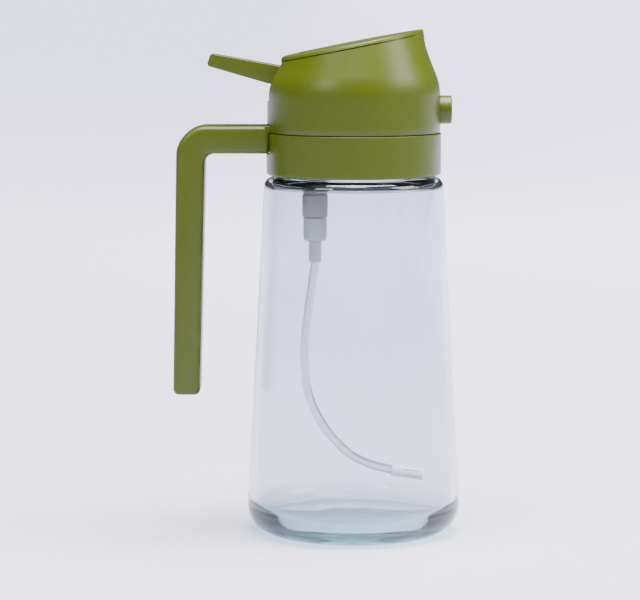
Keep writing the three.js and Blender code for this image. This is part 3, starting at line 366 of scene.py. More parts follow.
fit = 0.3 * mm
screw_hole_radius = 1.3 * mm
handle_half = 17.7 * mm / 2
arm_depth = 10.7 * mm
collar_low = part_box("collar")[0].z
cover_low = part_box("head_cover")[0].z
seam = cover_low - fit
deck_low = seam - 2.2 * mm
collar_radius = 33.4 * mm
skirt_inner = collar_radius - 2 * mm
thread_inner = neck_radius + glass_bead + fit
thread_outer = thread_inner + 2 * mm
cover_radius = collar_radius - 0.3 * mm
cover_wall = 2 * mm
rib_outer = cover_radius - cover_wall - fit
rib_inner = rib_outer - 1.9 * mm
rib_top = seam + 2.2 * mm
collar_bead = 1.05 * mm
collar_thread_start = glass_thread_start - thread_pitch / 2
skirt_low = collar_low + 0.6 * mm

collar_outline = rounded([
    (0, deck_low, 0),
    (thread_inner, deck_low, 0.4 * mm),
    (thread_inner, skirt_low, 0.4 * mm),
    (thread_outer, skirt_low, 0.4 * mm),
    (thread_outer, deck_low, 0.4 * mm),
    (skirt_inner, deck_low, 0.4 * mm),
    (skirt_inner, collar_low, 0.3 * mm),
    (collar_radius, collar_low, 1.0 * mm),
    (collar_radius, seam, 0.35 * mm),
    (rib_outer, seam, 0),
    (rib_outer, rib_top, 0.3 * mm),
    (rib_inner, rib_top, 0.3 * mm),
    (rib_inner, seam, 0),
    (0, seam, 0),
], steps=5, closed=False)


def collar_swell(radius, height, angle):
    """The inner skirt's bore carries the thread."""
    if abs(radius - thread_inner) > 0.01 * mm:
        return radius
    return radius - bead(angle, height, collar_thread_start, collar_bead)


collar = turned("collar_moulding", filled_in(collar_outline, 0.5 * mm), collar_swell, segments=144)

pivot_x = -1 * mm
pivot_z = seam + 16.8 * mm
lever_width = 13 * mm
post_inner = lever_width / 2 + 2 * fit
post_outer = post_inner + 3 * mm
post_half = 3 * mm
pin_radius = 1.5 * mm
posts = []
for side in (-1, 1):
    outline = rounded([
        (pivot_x - post_half, seam - 0.5 * mm, 0),
        (pivot_x + post_half, seam - 0.5 * mm, 0),
        (pivot_x + post_half, pivot_z + post_half, 2.95 * mm),
        (pivot_x - post_half, pivot_z + post_half, 2.95 * mm),
    ], steps=12)
    low, high = sorted((side * post_inner, side * post_outer))
    posts.append(plate("post", outline, low, high, "Y", 0.35 * mm, 2))

pump_x = -14.8 * mm
ear_y = 10 * mm
screw_seats = {
    "handle_screw_left": (-28.5 * mm, -6 * mm),
    "handle_screw_right": (-28.5 * mm, 6 * mm),
    "pump_screw_left": (pump_x, -ear_y),
    "pump_screw_right": (pump_x, ear_y),
}
screw_length = 6 * mm
boss_radius = 2.1 * mm
bosses = [bar("boss", boss_radius, deck_low - screw_length, deck_low + 0.5 * mm, at, "Z")
          for at in screw_seats.values()]

nozzle_z = seam + 8.8 * mm
channel_x = 12.8 * mm
channel_half_length = 8.4 * mm
channel_flange = 1.8 * mm
saddle = block("saddle",
               (channel_x + channel_half_length + channel_flange + fit, -3.5 * mm, seam - 0.5 * mm),
               (27.1 * mm, 3.5 * mm, nozzle_z - 2 * mm), 0.3 * mm)
snap_angles = (0, 90, -90)


def snap_blocks(grown):
    """Blocks round the rib that snap into the cover, or their pockets when grown."""
    made = []
    for degrees in snap_angles:
        snap = block("snap",
                     (rib_outer - 0.6 * mm, -3 * mm - grown, seam + 0.9 * mm - grown),
                     (rib_outer + 0.8 * mm + grown, 3 * mm + grown, seam + 1.9 * mm + grown))
        snap.data.transform(Matrix.Rotation(math.radians(degrees), 4, "Z"))
        made.append(snap)
    return made


worked(collar, "UNION", posts + [saddle] + snap_blocks(0) + bosses)


def arm_notch(low, high, inner, grown=0.0):
    """Opening in the wall for the handle's arm."""
    half = handle_half + fit + grown
    return block("notch", (-collar_radius - 2 * mm, -half, low), (-inner, half, high))


def channel_outline(grown):
    """Plan of the pouring channel."""
    half_length = channel_half_length + grown
    half_width = 9 * mm + grown
    radius = 4 * mm + grown
    return rounded([
        (channel_x - half_length, -half_width, radius),
        (channel_x + half_length, -half_width, radius),
        (channel_x + half_length, half_width, radius),
        (channel_x - half_length, half_width, radius),
    ], steps=12)


arm_top = seam + 3 * mm
arm_low = arm_top - arm_depth
pump_radius = 4.95 * mm
riser_x = -8.2 * mm
riser_radius = 2.4 * mm
worked(collar, "DIFFERENCE", [
    arm_notch(arm_low - fit, deck_low - 0.01 * mm, thread_outer + 1.2 * mm + 1.4 * mm),
    arm_notch(seam, rib_top + 1 * mm, 23 * mm),
    arm_notch(deck_low - 0.02 * mm, rib_top + 1 * mm, skirt_inner - fit),
    plate("channel_hole", channel_outline(fit), deck_low - 1 * mm, rib_top, "Z"),
    bar("pump_hole", pump_radius + fit, deck_low - 1 * mm, seam + 1 * mm, (pump_x, 0), "Z"),
    bar("riser_hole", riser_radius + fit, deck_low - 1 * mm, seam + 1 * mm, (riser_x, 0), "Z"),
    bar("pin_hole", pin_radius + fit, -15 * mm, 15 * mm, (pivot_x, pivot_z), "Y"),
    bar("seat", 4 * mm + fit, 20 * mm, 30 * mm, (0, nozzle_z), "X"),
] + [bar("screw_hole", screw_hole_radius, deck_low - screw_length - 1 * mm, seam + 1 * mm, at, "Z")
     for at in screw_seats.values()])
collar.data.materials.append(olive_abs)
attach(collar, "head")
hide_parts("collar")


# Handle. A solid olive ABS moulding: an arm that passes through the collar's notch and ends in a
# tongue, which two screws hold to the deck, and a leg that hangs beside the glass.
leg_low = arm_top - 103.3 * mm
handle = plate("handle_moulding", rounded([
    (-skirt_inner - fit, arm_top, 0),
    (-67.5 * mm, arm_top, 11.7 * mm),
    (-69.3 * mm, leg_low, 2.3 * mm),
    (-58.9 * mm, leg_low, 2.3 * mm),
    (-56.5 * mm, arm_low, 3.5 * mm),
    (-skirt_inner - fit, arm_low, 0),
], steps=14), -handle_half, handle_half, "Y", 2.2 * mm, 6)
tongue = block("tongue", (-skirt_inner - 2.6 * mm, -handle_half + 0.2 * mm, seam + fit),
               (-24 * mm, handle_half - 0.2 * mm, arm_top - 0.02 * mm), 0.3 * mm)
worked(handle, "UNION", [tongue])
screw_head_height = 1.1 * mm
tongue_seat = arm_top - screw_head_height
worked(handle, "DIFFERENCE", [
    tool
    for at in list(screw_seats.values())[:2]
    for tool in (bar("hole", screw_hole_radius, seam - 1 * mm, arm_top + 1 * mm, at, "Z"),
                 bar("sink", 2.25 * mm, tongue_seat, arm_top + 1 * mm, at, "Z"))
])
handle.data.materials.append(olive_abs)
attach(handle, "head")
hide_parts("handle")


# Four pan-head screws, zinc-plated steel with a cross recess, two through the handle's tongue and
# two through the ears of the pump's flange. One screw is made and set on the four seats.
def zinc(name, light, dark, roughness):
    """Bright metal with faint turning marks."""
    material, tree = new_material(name)
    place = node(tree, "ShaderNodeTexCoord").outputs["Object"]
    marks = node(tree, "ShaderNodeTexNoise", {"Vector": place, "Scale": 1 / (0.8 * mm), "Detail": 3.0})
    colour = node(tree, "ShaderNodeMix", {
        "Factor": marks.outputs["Fac"], "A": linear(dark), "B": linear(light)}, data_type="RGBA")
    shine = node(tree, "ShaderNodeMapRange", {
        "Value": marks.outputs["Fac"], "To Min": roughness - 0.06, "To Max": roughness + 0.08})
    metal = node(tree, "ShaderNodeBsdfPrincipled", {
        "Base Color": colour.outputs["Result"], "Metallic": 1.0, "Roughness": shine.outputs["Result"]})
    node(tree, "ShaderNodeOutputMaterial", {"Surface": metal.outputs["BSDF"]})
    return material


def geometry_tree(name, inputs):
    """A Geometry Nodes tree with a geometry in and out and named size inputs."""
    tree = bpy.data.node_groups.new(name, "GeometryNodeTree")
    tree.interface.new_socket("Geometry", in_out="INPUT", socket_type="NodeSocketGeometry")
    for label, kind in inputs.items():
        tree.interface.new_socket(label, in_out="INPUT", socket_type=kind)
    tree.interface.new_socket("Geometry", in_out="OUTPUT", socket_type="NodeSocketGeometry")
    return tree


def ended(tree, geometry, finish):
    """Ends a tree: instances made real, their material set, and the output."""
    real = node(tree, "GeometryNodeRealizeInstances", {"Geometry": geometry})
    finished = node(tree, "GeometryNodeSetMaterial", {
        "Geometry": real.outputs["Geometry"], "Material": finish})
    node(tree, "NodeGroupOutput", {"Geometry": finished.outputs["Geometry"]})


def grown_by(piece, tree, values):
    """Runs a tree on the piece with these input values and keeps the result as its mesh."""
    step = piece.modifiers.new(tree.name, "NODES")
    step.node_group = tree
    for item in tree.interface.items_tree:
        if item.in_out == "INPUT" and item.name in values:
            step[item.identifier] = values[item.name]
    plain_mesh(piece)


plated_steel = zinc("zinc_plated_steel", "#c4c6c8", "#a9abad", 0.3)
FLOAT = "NodeSocketFloat"
tree = geometry_tree("Pan head screws", {
    "Head radius": FLOAT, "Head height": FLOAT, "Shank radius": FLOAT, "Length": FLOAT,
    "Recess": FLOAT, "Finish": "NodeSocketMaterial"})
given = node(tree, "NodeGroupInput").outputs
head = node(tree, "GeometryNodeMeshCylinder", {
    "Vertices": 40, "Radius": given["Head radius"], "Depth": given["Head height"]})
half_head = node(tree, "ShaderNodeMath", {0: given["Head height"], 1: 0.5}, operation="MULTIPLY")
head_up = node(tree, "ShaderNodeCombineXYZ", {"Z": half_head.outputs[0]})
head_set = node(tree, "GeometryNodeTransform", {
    "Geometry": head.outputs["Mesh"], "Translation": head_up.outputs[0]})
shank = node(tree, "GeometryNodeMeshCylinder", {
    "Vertices": 24, "Radius": given["Shank radius"], "Depth": given["Length"]})
half_shank = node(tree, "ShaderNodeMath", {0: given["Length"], 1: -0.49}, operation="MULTIPLY")
shank_down = node(tree, "ShaderNodeCombineXYZ", {"Z": half_shank.outputs[0]})
shank_set = node(tree, "GeometryNodeTransform", {
    "Geometry": shank.outputs["Mesh"], "Translation": shank_down.outputs[0]})
recess_long = node(tree, "ShaderNodeMath", {0: given["Recess"], 1: 3.6}, operation="MULTIPLY")
recess_top = node(tree, "ShaderNodeCombineXYZ", {"Z": given["Head height"]})
cuts = []
for across in ("X", "Y"):
    size = node(tree, "ShaderNodeCombineXYZ", {
        "X": recess_long.outputs[0] if across == "X" else given["Recess"],
        "Y": given["Recess"] if across == "X" else recess_long.outputs[0],
        "Z": given["Head height"]})
    cube = node(tree, "GeometryNodeMeshCube", {"Size": size.outputs[0]})
    cuts.append(node(tree, "GeometryNodeTransform", {
        "Geometry": cube.outputs["Mesh"], "Translation": recess_top.outputs[0]}))
whole = node(tree, "GeometryNodeMeshBoolean", operation="UNION")
for part in (head_set, shank_set):
    tree.links.new(part.outputs["Geometry"], whole.inputs["Mesh 2"])
driven = node(tree, "GeometryNodeMeshBoolean", {"Mesh 1": whole.outputs["Mesh"]}, operation="DIFFERENCE")
for part in cuts:
    tree.links.new(part.outputs["Geometry"], driven.inputs["Mesh 2"])
seated = node(tree, "GeometryNodeInstanceOnPoints", {
    "Points": given["Geometry"], "Instance": driven.outputs["Mesh"]})
ended(tree, seated.outputs["Instances"], given["Finish"])

flange_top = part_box("pump_screw_left")[1].z - screw_head_height
seats = [(x, y, tongue_seat + fit if name.startswith("handle") else flange_top)
         for name, (x, y) in screw_seats.items()]
screws = object_from("pan_head_screws", seats, [])
grown_by(screws, tree, {
    "Head radius": 1.95 * mm, "Head height": screw_head_height, "Shank radius": 1 * mm,
    "Length": screw_length + 1.5 * mm, "Recess": 0.5 * mm, "Finish": plated_steel})
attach(screws, "head")
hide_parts(*screw_seats)


# Head cover. One olive ABS shell, 2 mm thick: an upright wall, a round shoulder and a slanted top
# that runs up to the pouring beak. Its wall is pierced for the arm, the lever and the nozzle, and
# its top has a shallow bed for the lid. Three pockets inside snap on the deck's rib.
top_slope = math.radians(11.1)
top_z = seam + 34.4 * mm
top_thickness = 3 * mm
wall_top = seam + 13.8 * mm
dome_radius = 22 * mm
dome_lean = math.radians(22.7)
beak_reach = 26.5 * mm
beak_half_width = 8.8 * mm
beak_softness = 1.4 * mm
rear_tuck = 1.3 * mm


edge_round = 0.7 * mm
foot_round = 0.35 * mm
# A fine groove runs round under the rim and fades out at the beak.
rim_groove_depth = 0.45 * mm
rim_groove_edges = (1.85 * mm, 1.75 * mm, 1.4 * mm, 1.3 * mm)
groove_fade = (0.88, 0.97)


def eased(value, start, end):
    """0 before start, 1 after end, smooth between them."""
    share = min(max((value - start) / (end - start), 0), 1)
    return share * share * (3 - 2 * share)


def dome_swell(radius, height, angle):
    """The turned dome drawn out into the beak at the front and tucked in a little at the rear."""
    rear = (0.5 - 0.5 * math.cos(angle)) ** 4
    radius -= rear_tuck * rear * eased(height, wall_top + 2 * mm, wall_top + 14 * mm)
    across = abs(radius * math.sin(angle)) / beak_half_width
    if math.cos(angle) > 0 and across < 1:
        short = beak_reach - radius
        nose = (short + math.hypot(short, beak_softness)) / 2
        rise = eased(height, wall_top + 8 * mm, wall_top + 17 * mm)
        radius += nose * rise * (1 - across ** 1.6)
    return radius


def dome_section(angle, inset, roof_drop, foot, groove=0.0):
    """Half section of the dome in one direction, from its foot to the axis, inset by a wall."""
    points = [Vector((cover_radius - inset, foot)), Vector((cover_radius - inset, wall_top))]
    points = filled_in(points, 3 * mm)
    for step in range(1, 15):
        turn = dome_lean * step / 14
        points.append(Vector((cover_radius - dome_radius + (dome_radius - inset) * math.cos(turn),
                              wall_top + (dome_radius - inset) * math.sin(turn))))
    foot_of_lean = points[-1]
    slope = math.cos(angle) * math.tan(top_slope)
    roof = top_z - roof_drop / math.cos(top_slope)
    height = (roof + slope * (foot_of_lean.x + foot_of_lean.y * math.tan(dome_lean))) \
        / (1 + slope * math.tan(dome_lean))
    lean_end = height - 2.1 * mm
    lean_heights = [foot_of_lean.y + (lean_end - foot_of_lean.y) * step / 12 for step in range(1, 13)]
    lean_heights += [height - below for below in rim_groove_edges] + [height - edge_round]
    for z in lean_heights:
        points.append(Vector((foot_of_lean.x - (z - foot_of_lean.y) * math.tan(dome_lean), z)))
    points = [Vector((dome_swell(p.x, p.y, angle), p.y)) for p in points]
    depth = groove * (1 - eased(math.cos(angle), *groove_fade))
    for point in points[-4:-2]:
        point.x -= depth
    lean_run = (height - foot_of_lean.y) * math.tan(dome_lean)
    corner_x = dome_swell(foot_of_lean.x - lean_run, height, angle)
    corner = Vector((corner_x, roof + corner_x * slope))
    start = points[-1]
    inwards = Vector((-1, -slope)).normalized() * edge_round
    for step in range(1, 5):
        share = step / 4
        points.append(start.lerp(corner, share).lerp(corner.lerp(corner + inwards, share), share))
    last = points[-1]
    for share in (0.75, 0.5, 0.25, 0.0):
        points.append(Vector((last.x * share, roof + last.x * share * slope)))
    return points


segments = 240
rows = []
for step in range(segments):
    angle = 2 * math.pi * step / segments
    outer = dome_section(angle, 0, 0, cover_low + foot_round, rim_groove_depth)
    inner = dome_section(angle, cover_wall, top_thickness, cover_low)
    edge = [Vector((cover_radius - cover_wall, cover_low)),
            Vector((cover_radius - foot_round, cover_low)),
            Vector((cover_radius - 0.1 * mm, cover_low + 0.1 * mm))]
    section = inner[::-1] + edge + outer
    rows.append([(p.x * math.cos(angle), p.x * math.sin(angle), p.y) for p in section])
rings = [[row[i] for row in rows] for i in range(len(rows[0]))]
cover = lofted("head_cover_moulding", rings, "open")

on_top = Matrix.Translation((0, 0, top_z)) @ Matrix.Rotation(-top_slope, 4, "Y")
lid_hinge = -18.891 * mm
lid_pin_hole = 1.05 * mm
lid_rear_gap = 2.1 * mm
lid_front = 23.127 * mm
lid_half = 9.8 * mm
lid_bed = 2.2 * mm
barrel_radius = 1.6 * mm
barrel_half = 6 * mm
hinge_height = -1.3 * mm
running_fit = 0.4 * mm
nozzle_radius = 5.45 * mm


def lid_outline(grown):
    """Plan of the lid on the slanted top."""
    rear, front, half = lid_hinge + lid_rear_gap - grown, lid_front + grown, lid_half + grown
    return rounded([
        (rear, -half, 2 * mm + grown),
        (front, -half, 7 * mm + grown),
        (front, half, 7 * mm + grown),
        (rear, half, 2 * mm + grown),
    ], steps=10)


def set_on_top(piece):
    """Moves a piece from the slanted top's own axes to its place."""
    piece.data.transform(on_top)
    return piece


def mouth_outline(grown):
    """Plan of the opening through the top that the channel feeds."""
    half_width = 7.4 * mm + grown
    rear = 6 * mm / math.cos(top_slope) - grown
    front = 19.2 * mm / math.cos(top_slope) + grown
    radius = 3 * mm + grown
    return rounded([(rear, -half_width, radius), (front, -half_width, radius),
                    (front, half_width, radius), (rear, half_width, radius)], steps=10)


lever_root = seam + 26.2 * mm
slot_low = 166.185 * mm
slot_high = lever_root + 2 * running_fit
slot_half = lever_width / 2 + running_fit
ears = []
for side in (-1, 1):
    low, high = sorted((side * (barrel_half + 2 * fit), side * (barrel_half + 2 * fit + 2.8 * mm)))
    outline = rounded([
        (lid_hinge - barrel_radius, -top_thickness + 0.5 * mm, 0),
        (lid_hinge + barrel_radius, -top_thickness + 0.5 * mm, 0),
        (lid_hinge + barrel_radius, hinge_height + barrel_radius, 1.55 * mm),
        (lid_hinge - barrel_radius, hinge_height + barrel_radius, 1.55 * mm),
    ], steps=8)
    ears.append(set_on_top(plate("ear", outline, low, high, "Y", 0.25 * mm, 2)))
worked(cover, "DIFFERENCE", [
    block("lever_slot", (-cover_radius - 4 * mm, -slot_half, slot_low),
          (-cover_radius + 8 * mm, slot_half, slot_high)),
    set_on_top(plate("lid_bed", lid_outline(running_fit), -lid_bed, 6 * mm, "Z")),
    set_on_top(block("hinge_slot",
                     (lid_hinge - barrel_radius - running_fit, -barrel_half - 2 * fit, -5 * mm),
                     (lid_hinge + lid_rear_gap + 1 * mm, barrel_half + 2 * fit, 4 * mm))),
    set_on_top(plate("mouth", mouth_outline(0), -6 * mm, 1 * mm, "Z")),
    set_on_top(bar("groove", 2.2 * mm, 17.2 * mm, 35 * mm, (0, 0), "X")),
    bar("nozzle_hole", nozzle_radius + fit, cover_radius - 12 * mm, cover_radius + 2 * mm,
        (0, nozzle_z), "X", segments=96),
    arm_notch(cover_low - 1 * mm, arm_top + fit, cover_radius - 8 * mm),
] + snap_blocks(fit))
worked(cover, "UNION", ears)
worked(cover, "DIFFERENCE", [
    set_on_top(bar("pin_hole", lid_pin_hole, -12 * mm, 12 * mm, (lid_hinge, hinge_height), "Y"))])
cover.data.materials.append(olive_abs)
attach(cover, "head")
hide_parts("head_cover")


# Flip lid. A thin olive ABS plate that lies flush in the cover's bed, with a hinge barrel at its
# rear. The steel pin passes through the barrel and the cover's two ears.
lid_low = -lid_bed + fit
lid_high = lid_low + 1.9 * mm
lid = plate("flip_lid_moulding", lid_outline(0), lid_low, lid_high, "Z", 0.45 * mm, 3)
worked(lid, "UNION", [
    bar("barrel", barrel_radius, -barrel_half, barrel_half, (lid_hinge, hinge_height), "Y", 0.2 * mm),
    block("tab", (lid_hinge, -barrel_half + 0.1 * mm, lid_low + 0.05 * mm),
          (lid_hinge + lid_rear_gap + 2 * mm, barrel_half - 0.1 * mm, lid_high - 0.05 * mm)),
])
worked(lid, "DIFFERENCE", [
    bar("bore", lid_pin_hole, -12 * mm, 12 * mm, (lid_hinge, hinge_height), "Y")])
set_on_top(lid)
lid.data.materials.append(olive_abs)
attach(lid, "lid")
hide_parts("flip_lid")

stainless = zinc("stainless_steel", "#d0d1d2", "#b9babb", 0.22)
lid_pin_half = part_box("lid_pin")[1].y
lid_pin = set_on_top(bar("lid_hinge_pin", 0.75 * mm, -lid_pin_half, lid_pin_half,
                         (lid_hinge, hinge_height), "Y", 0.15 * mm))
lid_pin.data.materials.append(stainless)
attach(lid_pin, "head")
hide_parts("lid_pin")


# Pouring channel. A thin-walled olive ABS duct from the deck up to the mouth under the lid, with a
# flange that rests on the deck.
channel_wall = 1.4 * mm


def channel_wall_points(grown, foot):
    """Outline of the channel at its foot and where it ends under the slanted top."""
    outline = channel_outline(grown)
    roof = top_z - (top_thickness + fit) / math.cos(top_slope)
    return ([(x, y, foot) for x, y in outline],
            [(x, y, roof + x * math.tan(top_slope)) for x, y in outline])


outer_low, outer_high = channel_wall_points(0, deck_low)
inner_low, inner_high = channel_wall_points(-channel_wall, deck_low)
channel = lofted("pour_channel_moulding", [outer_low, outer_high, inner_high, inner_low], "loop")
flange_low, flange_high = seam + fit, seam + fit + 1.2 * mm
flange = lofted("flange", [
    [(x, y, flange_low) for x, y in channel_outline(channel_flange)],
    [(x, y, flange_high) for x, y in channel_outline(channel_flange)],
    [(x, y, flange_high) for x, y in channel_outline(-0.5 * mm)],
    [(x, y, flange_low) for x, y in channel_outline(-0.5 * mm)],
], "loop")
worked(channel, "UNION", [flange])
channel.data.materials.append(olive_abs)
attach(channel, "head")
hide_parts("pour_channel")


# Thumb lever. An olive ABS moulding that turns on a steel pin between the collar's two posts. Its
# pad narrows towards the tip, its underside presses the plunger, and a curved apron under it keeps
# the cover's slot closed.
lever_outline = rounded([
    (-54.5 * mm, seam + 30.3 * mm, 1.2 * mm),
    (-31.3 * mm, lever_root, 8 * mm),
    (-9 * mm, pivot_z + 4.6 * mm, 4 * mm),
    (pivot_x + 1.5 * mm, pivot_z + 2.6 * mm, 0.5 * mm),
    (pivot_x + 1.5 * mm, pivot_z - 2.6 * mm, 0.5 * mm),
    (pump_x + 5 * mm, seam + 16.2 * mm, 1 * mm),
    (pump_x - 5 * mm, seam + 16.2 * mm, 1 * mm),
    (-26.8 * mm, seam + 18 * mm, 2 * mm),
    (-32.8 * mm, seam + 19 * mm, 3 * mm),
    (-56 * mm, seam + 25.7 * mm, 1.2 * mm),
], steps=8)
lever = plate("thumb_lever_moulding", lever_outline, -lever_width / 2, lever_width / 2, "Y", 0.9 * mm, 4)
pad_start = -46 * mm
pad_length = 9 * mm
pad_taper = 0.2
work = bmesh.new()
work.from_mesh(lever.data)
bmesh.ops.bisect_plane(work, geom=work.verts[:] + work.edges[:] + work.faces[:],
                       plane_co=(pad_start, 0, 0), plane_no=(1, 0, 0))
for vertex in work.verts:
    if vertex.co.x < pad_start:
        vertex.co.y *= 1 - pad_taper * (pad_start - vertex.co.x) / pad_length
work.to_mesh(lever.data)
work.free()

apron_radius = 29.2 * mm
apron_from = math.pi - 0.08
apron_to = math.pi + math.asin((pivot_z - slot_low + 0.8 * mm) / apron_radius)
apron_outline = [
    (pivot_x + radius * math.cos(turn), pivot_z + radius * math.sin(turn))
    for radius, start, end in ((apron_radius, apron_from, apron_to),
                               (apron_radius - 1.6 * mm, apron_to, apron_from))
    for turn in (start + (end - start) * step / 12 for step in range(13))
]
worked(lever, "UNION", [
    plate("apron", apron_outline, -lever_width / 2 + 0.05 * mm, lever_width / 2 - 0.05 * mm, "Y"),
    bar("hub", 3.4 * mm, -lever_width / 2 - 0.02 * mm, lever_width / 2 + 0.02 * mm,
        (pivot_x, pivot_z), "Y", 0.3 * mm),
])
worked(lever, "DIFFERENCE", [
    bar("bore", pin_radius + fit, -20 * mm, 20 * mm, (pivot_x, pivot_z), "Y")])
lever.data.materials.append(olive_abs)
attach(lever, "lever")
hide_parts("thumb_lever")

lever_pin_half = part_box("lever_pin")[1].y
lever_pin = bar("lever_hinge_pin", pin_radius, -lever_pin_half, lever_pin_half,
                (pivot_x, pivot_z), "Y", 0.3 * mm)
lever_pin.data.materials.append(stainless)
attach(lever_pin, "head")
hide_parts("lever_pin")


# Pump cylinder. Grey polypropylene: the plunger's cylinder, the riser beside it that leads the oil
# up to a side spigot, and the flange with two ears that the screws hold to the deck. Two grooves
# near the top of what hangs in the bottle are in shade.
cylinder_low, cylinder_high = seam - 32.2 * mm, seam + 3.8 * mm
bore_low = seam - 15.2 * mm
bore_radius = 3.5 * mm
port_radius = 1.5 * mm
duct_radius = 0.8 * mm
socket_depth = 3.6 * mm
groove_heights = (133.1 * mm, 131.1 * mm)
cylinder_corners = [
    (0, bore_low, 0),
    (bore_radius, bore_low, 0.3 * mm),
    (bore_radius, cylinder_high, 0.3 * mm),
    (pump_radius, cylinder_high, 0.3 * mm),
]
for middle, half in zip(groove_heights, (0.75 * mm, 0.45 * mm)):
    cylinder_corners += [
        (pump_radius, middle + half, 0.15 * mm),
        (pump_radius - 0.45 * mm, middle + half, 0.1 * mm),
        (pump_radius - 0.45 * mm, middle - half, 0.1 * mm),
        (pump_radius, middle - half, 0.15 * mm),
    ]
cylinder_corners += [
    (pump_radius, cylinder_low, 0.4 * mm),
    (3.2 * mm, cylinder_low, 0.2 * mm),
    (3.2 * mm, cylinder_low + socket_depth, 0.2 * mm),
    (port_radius, cylinder_low + socket_depth, 0),
    (port_radius, bore_low - 2 * mm, 0),
    (0, bore_low - 2 * mm, 0),
]
pump = turned("pump_cylinder_moulding", rounded(cylinder_corners, 4, closed=False), segments=72,
              centre=(pump_x, 0))
spigot_z = seam + 5.4 * mm
ear_radius, flange_radius = 3.1 * mm, 6.8 * mm
lean = math.acos((flange_radius - ear_radius) / ear_y)
flange_plan = [
    (pump_x + radius * math.cos(start + (end - start) * step / 16),
     y + radius * math.sin(start + (end - start) * step / 16))
    for y, radius, start, end in (
        (ear_y, ear_radius, math.pi / 2 - lean, math.pi / 2 + lean),
        (0, flange_radius, math.pi / 2 + lean, 1.5 * math.pi - lean),
        (-ear_y, ear_radius, 1.5 * math.pi - lean, 1.5 * math.pi + lean),
        (0, flange_radius, lean - math.pi / 2, math.pi / 2 - lean))
    for step in range(17)
]
worked(pump, "UNION", [
    plate("flange", flange_plan, flange_top - 1.6 * mm - fit, flange_top - fit, "Z", 0.2 * mm, 2),
    bar("riser", riser_radius, seam - 16.4 * mm, seam + 7.6 * mm, (riser_x, 0), "Z", 0.4 * mm),
    bar("spigot", 0.9 * mm, -riser_radius - 4.3 * mm, 0, (riser_x, spigot_z), "Y", 0.1 * mm),
])
worked(pump, "DIFFERENCE", [
    bar("bore", bore_radius, bore_low + 0.02 * mm, cylinder_high + 1 * mm, (pump_x, 0), "Z"),
    bar("port", port_radius, cylinder_low + socket_depth - 0.2 * mm, bore_low + 1 * mm,
        (pump_x, 0), "Z"),
    bar("crossing", duct_radius, pump_x, riser_x, (0, bore_low + 1.3 * mm), "X"),
    bar("riser_bore", duct_radius, bore_low + 0.5 * mm, spigot_z + 0.5 * mm, (riser_x, 0), "Z"),
    bar("chamber", port_radius, seam - 4.2 * mm, seam + 1.8 * mm, (riser_x, 0), "Z"),
    bar("spigot_bore", 0.45 * mm, -riser_radius - 6 * mm, 0, (riser_x, spigot_z), "Y"),
] + [bar("screw_hole", screw_hole_radius, flange_top - 4 * mm, flange_top + 1 * mm, (pump_x, y), "Z")
     for y in (-ear_y, ear_y)])
grey_pp = moulded_plastic("grey_polypropylene", "#b1ada9", "#a6a29e", 0.42, 1.49)
pump.data.materials.append(grey_pp)
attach(pump, "head")
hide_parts("pump_cylinder")


# Plunger, its guide and its spring. The rod and the guide are natural polypropylene. The spring is
# wound from stainless wire and pushes the plunger's head up against the lever.
natural_pp = moulded_plastic("natural_polypropylene", "#d9dce2", "#cfd2d9", 0.36, 1.49, through=0.12)
for name in ("plunger_rod", "plunger_guide", "nozzle_body", "nozzle_insert"):
    dress(name, natural_pp)

tree = geometry_tree("Return spring", {
    "Coil radius": FLOAT, "Wire radius": FLOAT, "Height": FLOAT, "Turns": FLOAT,
    "Finish": "NodeSocketMaterial"})
given = node(tree, "NodeGroupInput").outputs
coil = node(tree, "GeometryNodeCurveSpiral", {
    "Resolution": 40, "Rotations": given["Turns"], "Start Radius": given["Coil radius"],
    "End Radius": given["Coil radius"], "Height": given["Height"]})
wire = node(tree, "GeometryNodeCurvePrimitiveCircle", {"Resolution": 14, "Radius": given["Wire radius"]})
wound = node(tree, "GeometryNodeCurveToMesh", {
    "Curve": coil.outputs["Curve"], "Profile Curve": wire.outputs["Curve"], "Fill Caps": True})
corner = node(tree, "GeometryNodeInputPosition")
foot = node(tree, "GeometryNodeSampleIndex", {
    "Geometry": given["Geometry"], "Value": corner.outputs[0], "Index": 0}, data_type="FLOAT_VECTOR")
stood = node(tree, "GeometryNodeTransform", {
    "Geometry": wound.outputs["Mesh"], "Translation": foot.outputs["Value"]})
ended(tree, stood.outputs["Geometry"], given["Finish"])

spring_low, spring_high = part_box("return_spring")
wire_radius = 0.35 * mm
spring = object_from("return_spring_coil", [(pump_x, 0, spring_low.z + wire_radius)], [])
grown_by(spring, tree, {
    "Coil radius": 3.2 * mm, "Wire radius": wire_radius, "Turns": 5.0,
    "Height": spring_high.z - spring_low.z - 2 * wire_radius, "Finish": stainless})
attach(spring, "head")
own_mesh(spring)
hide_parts("return_spring")


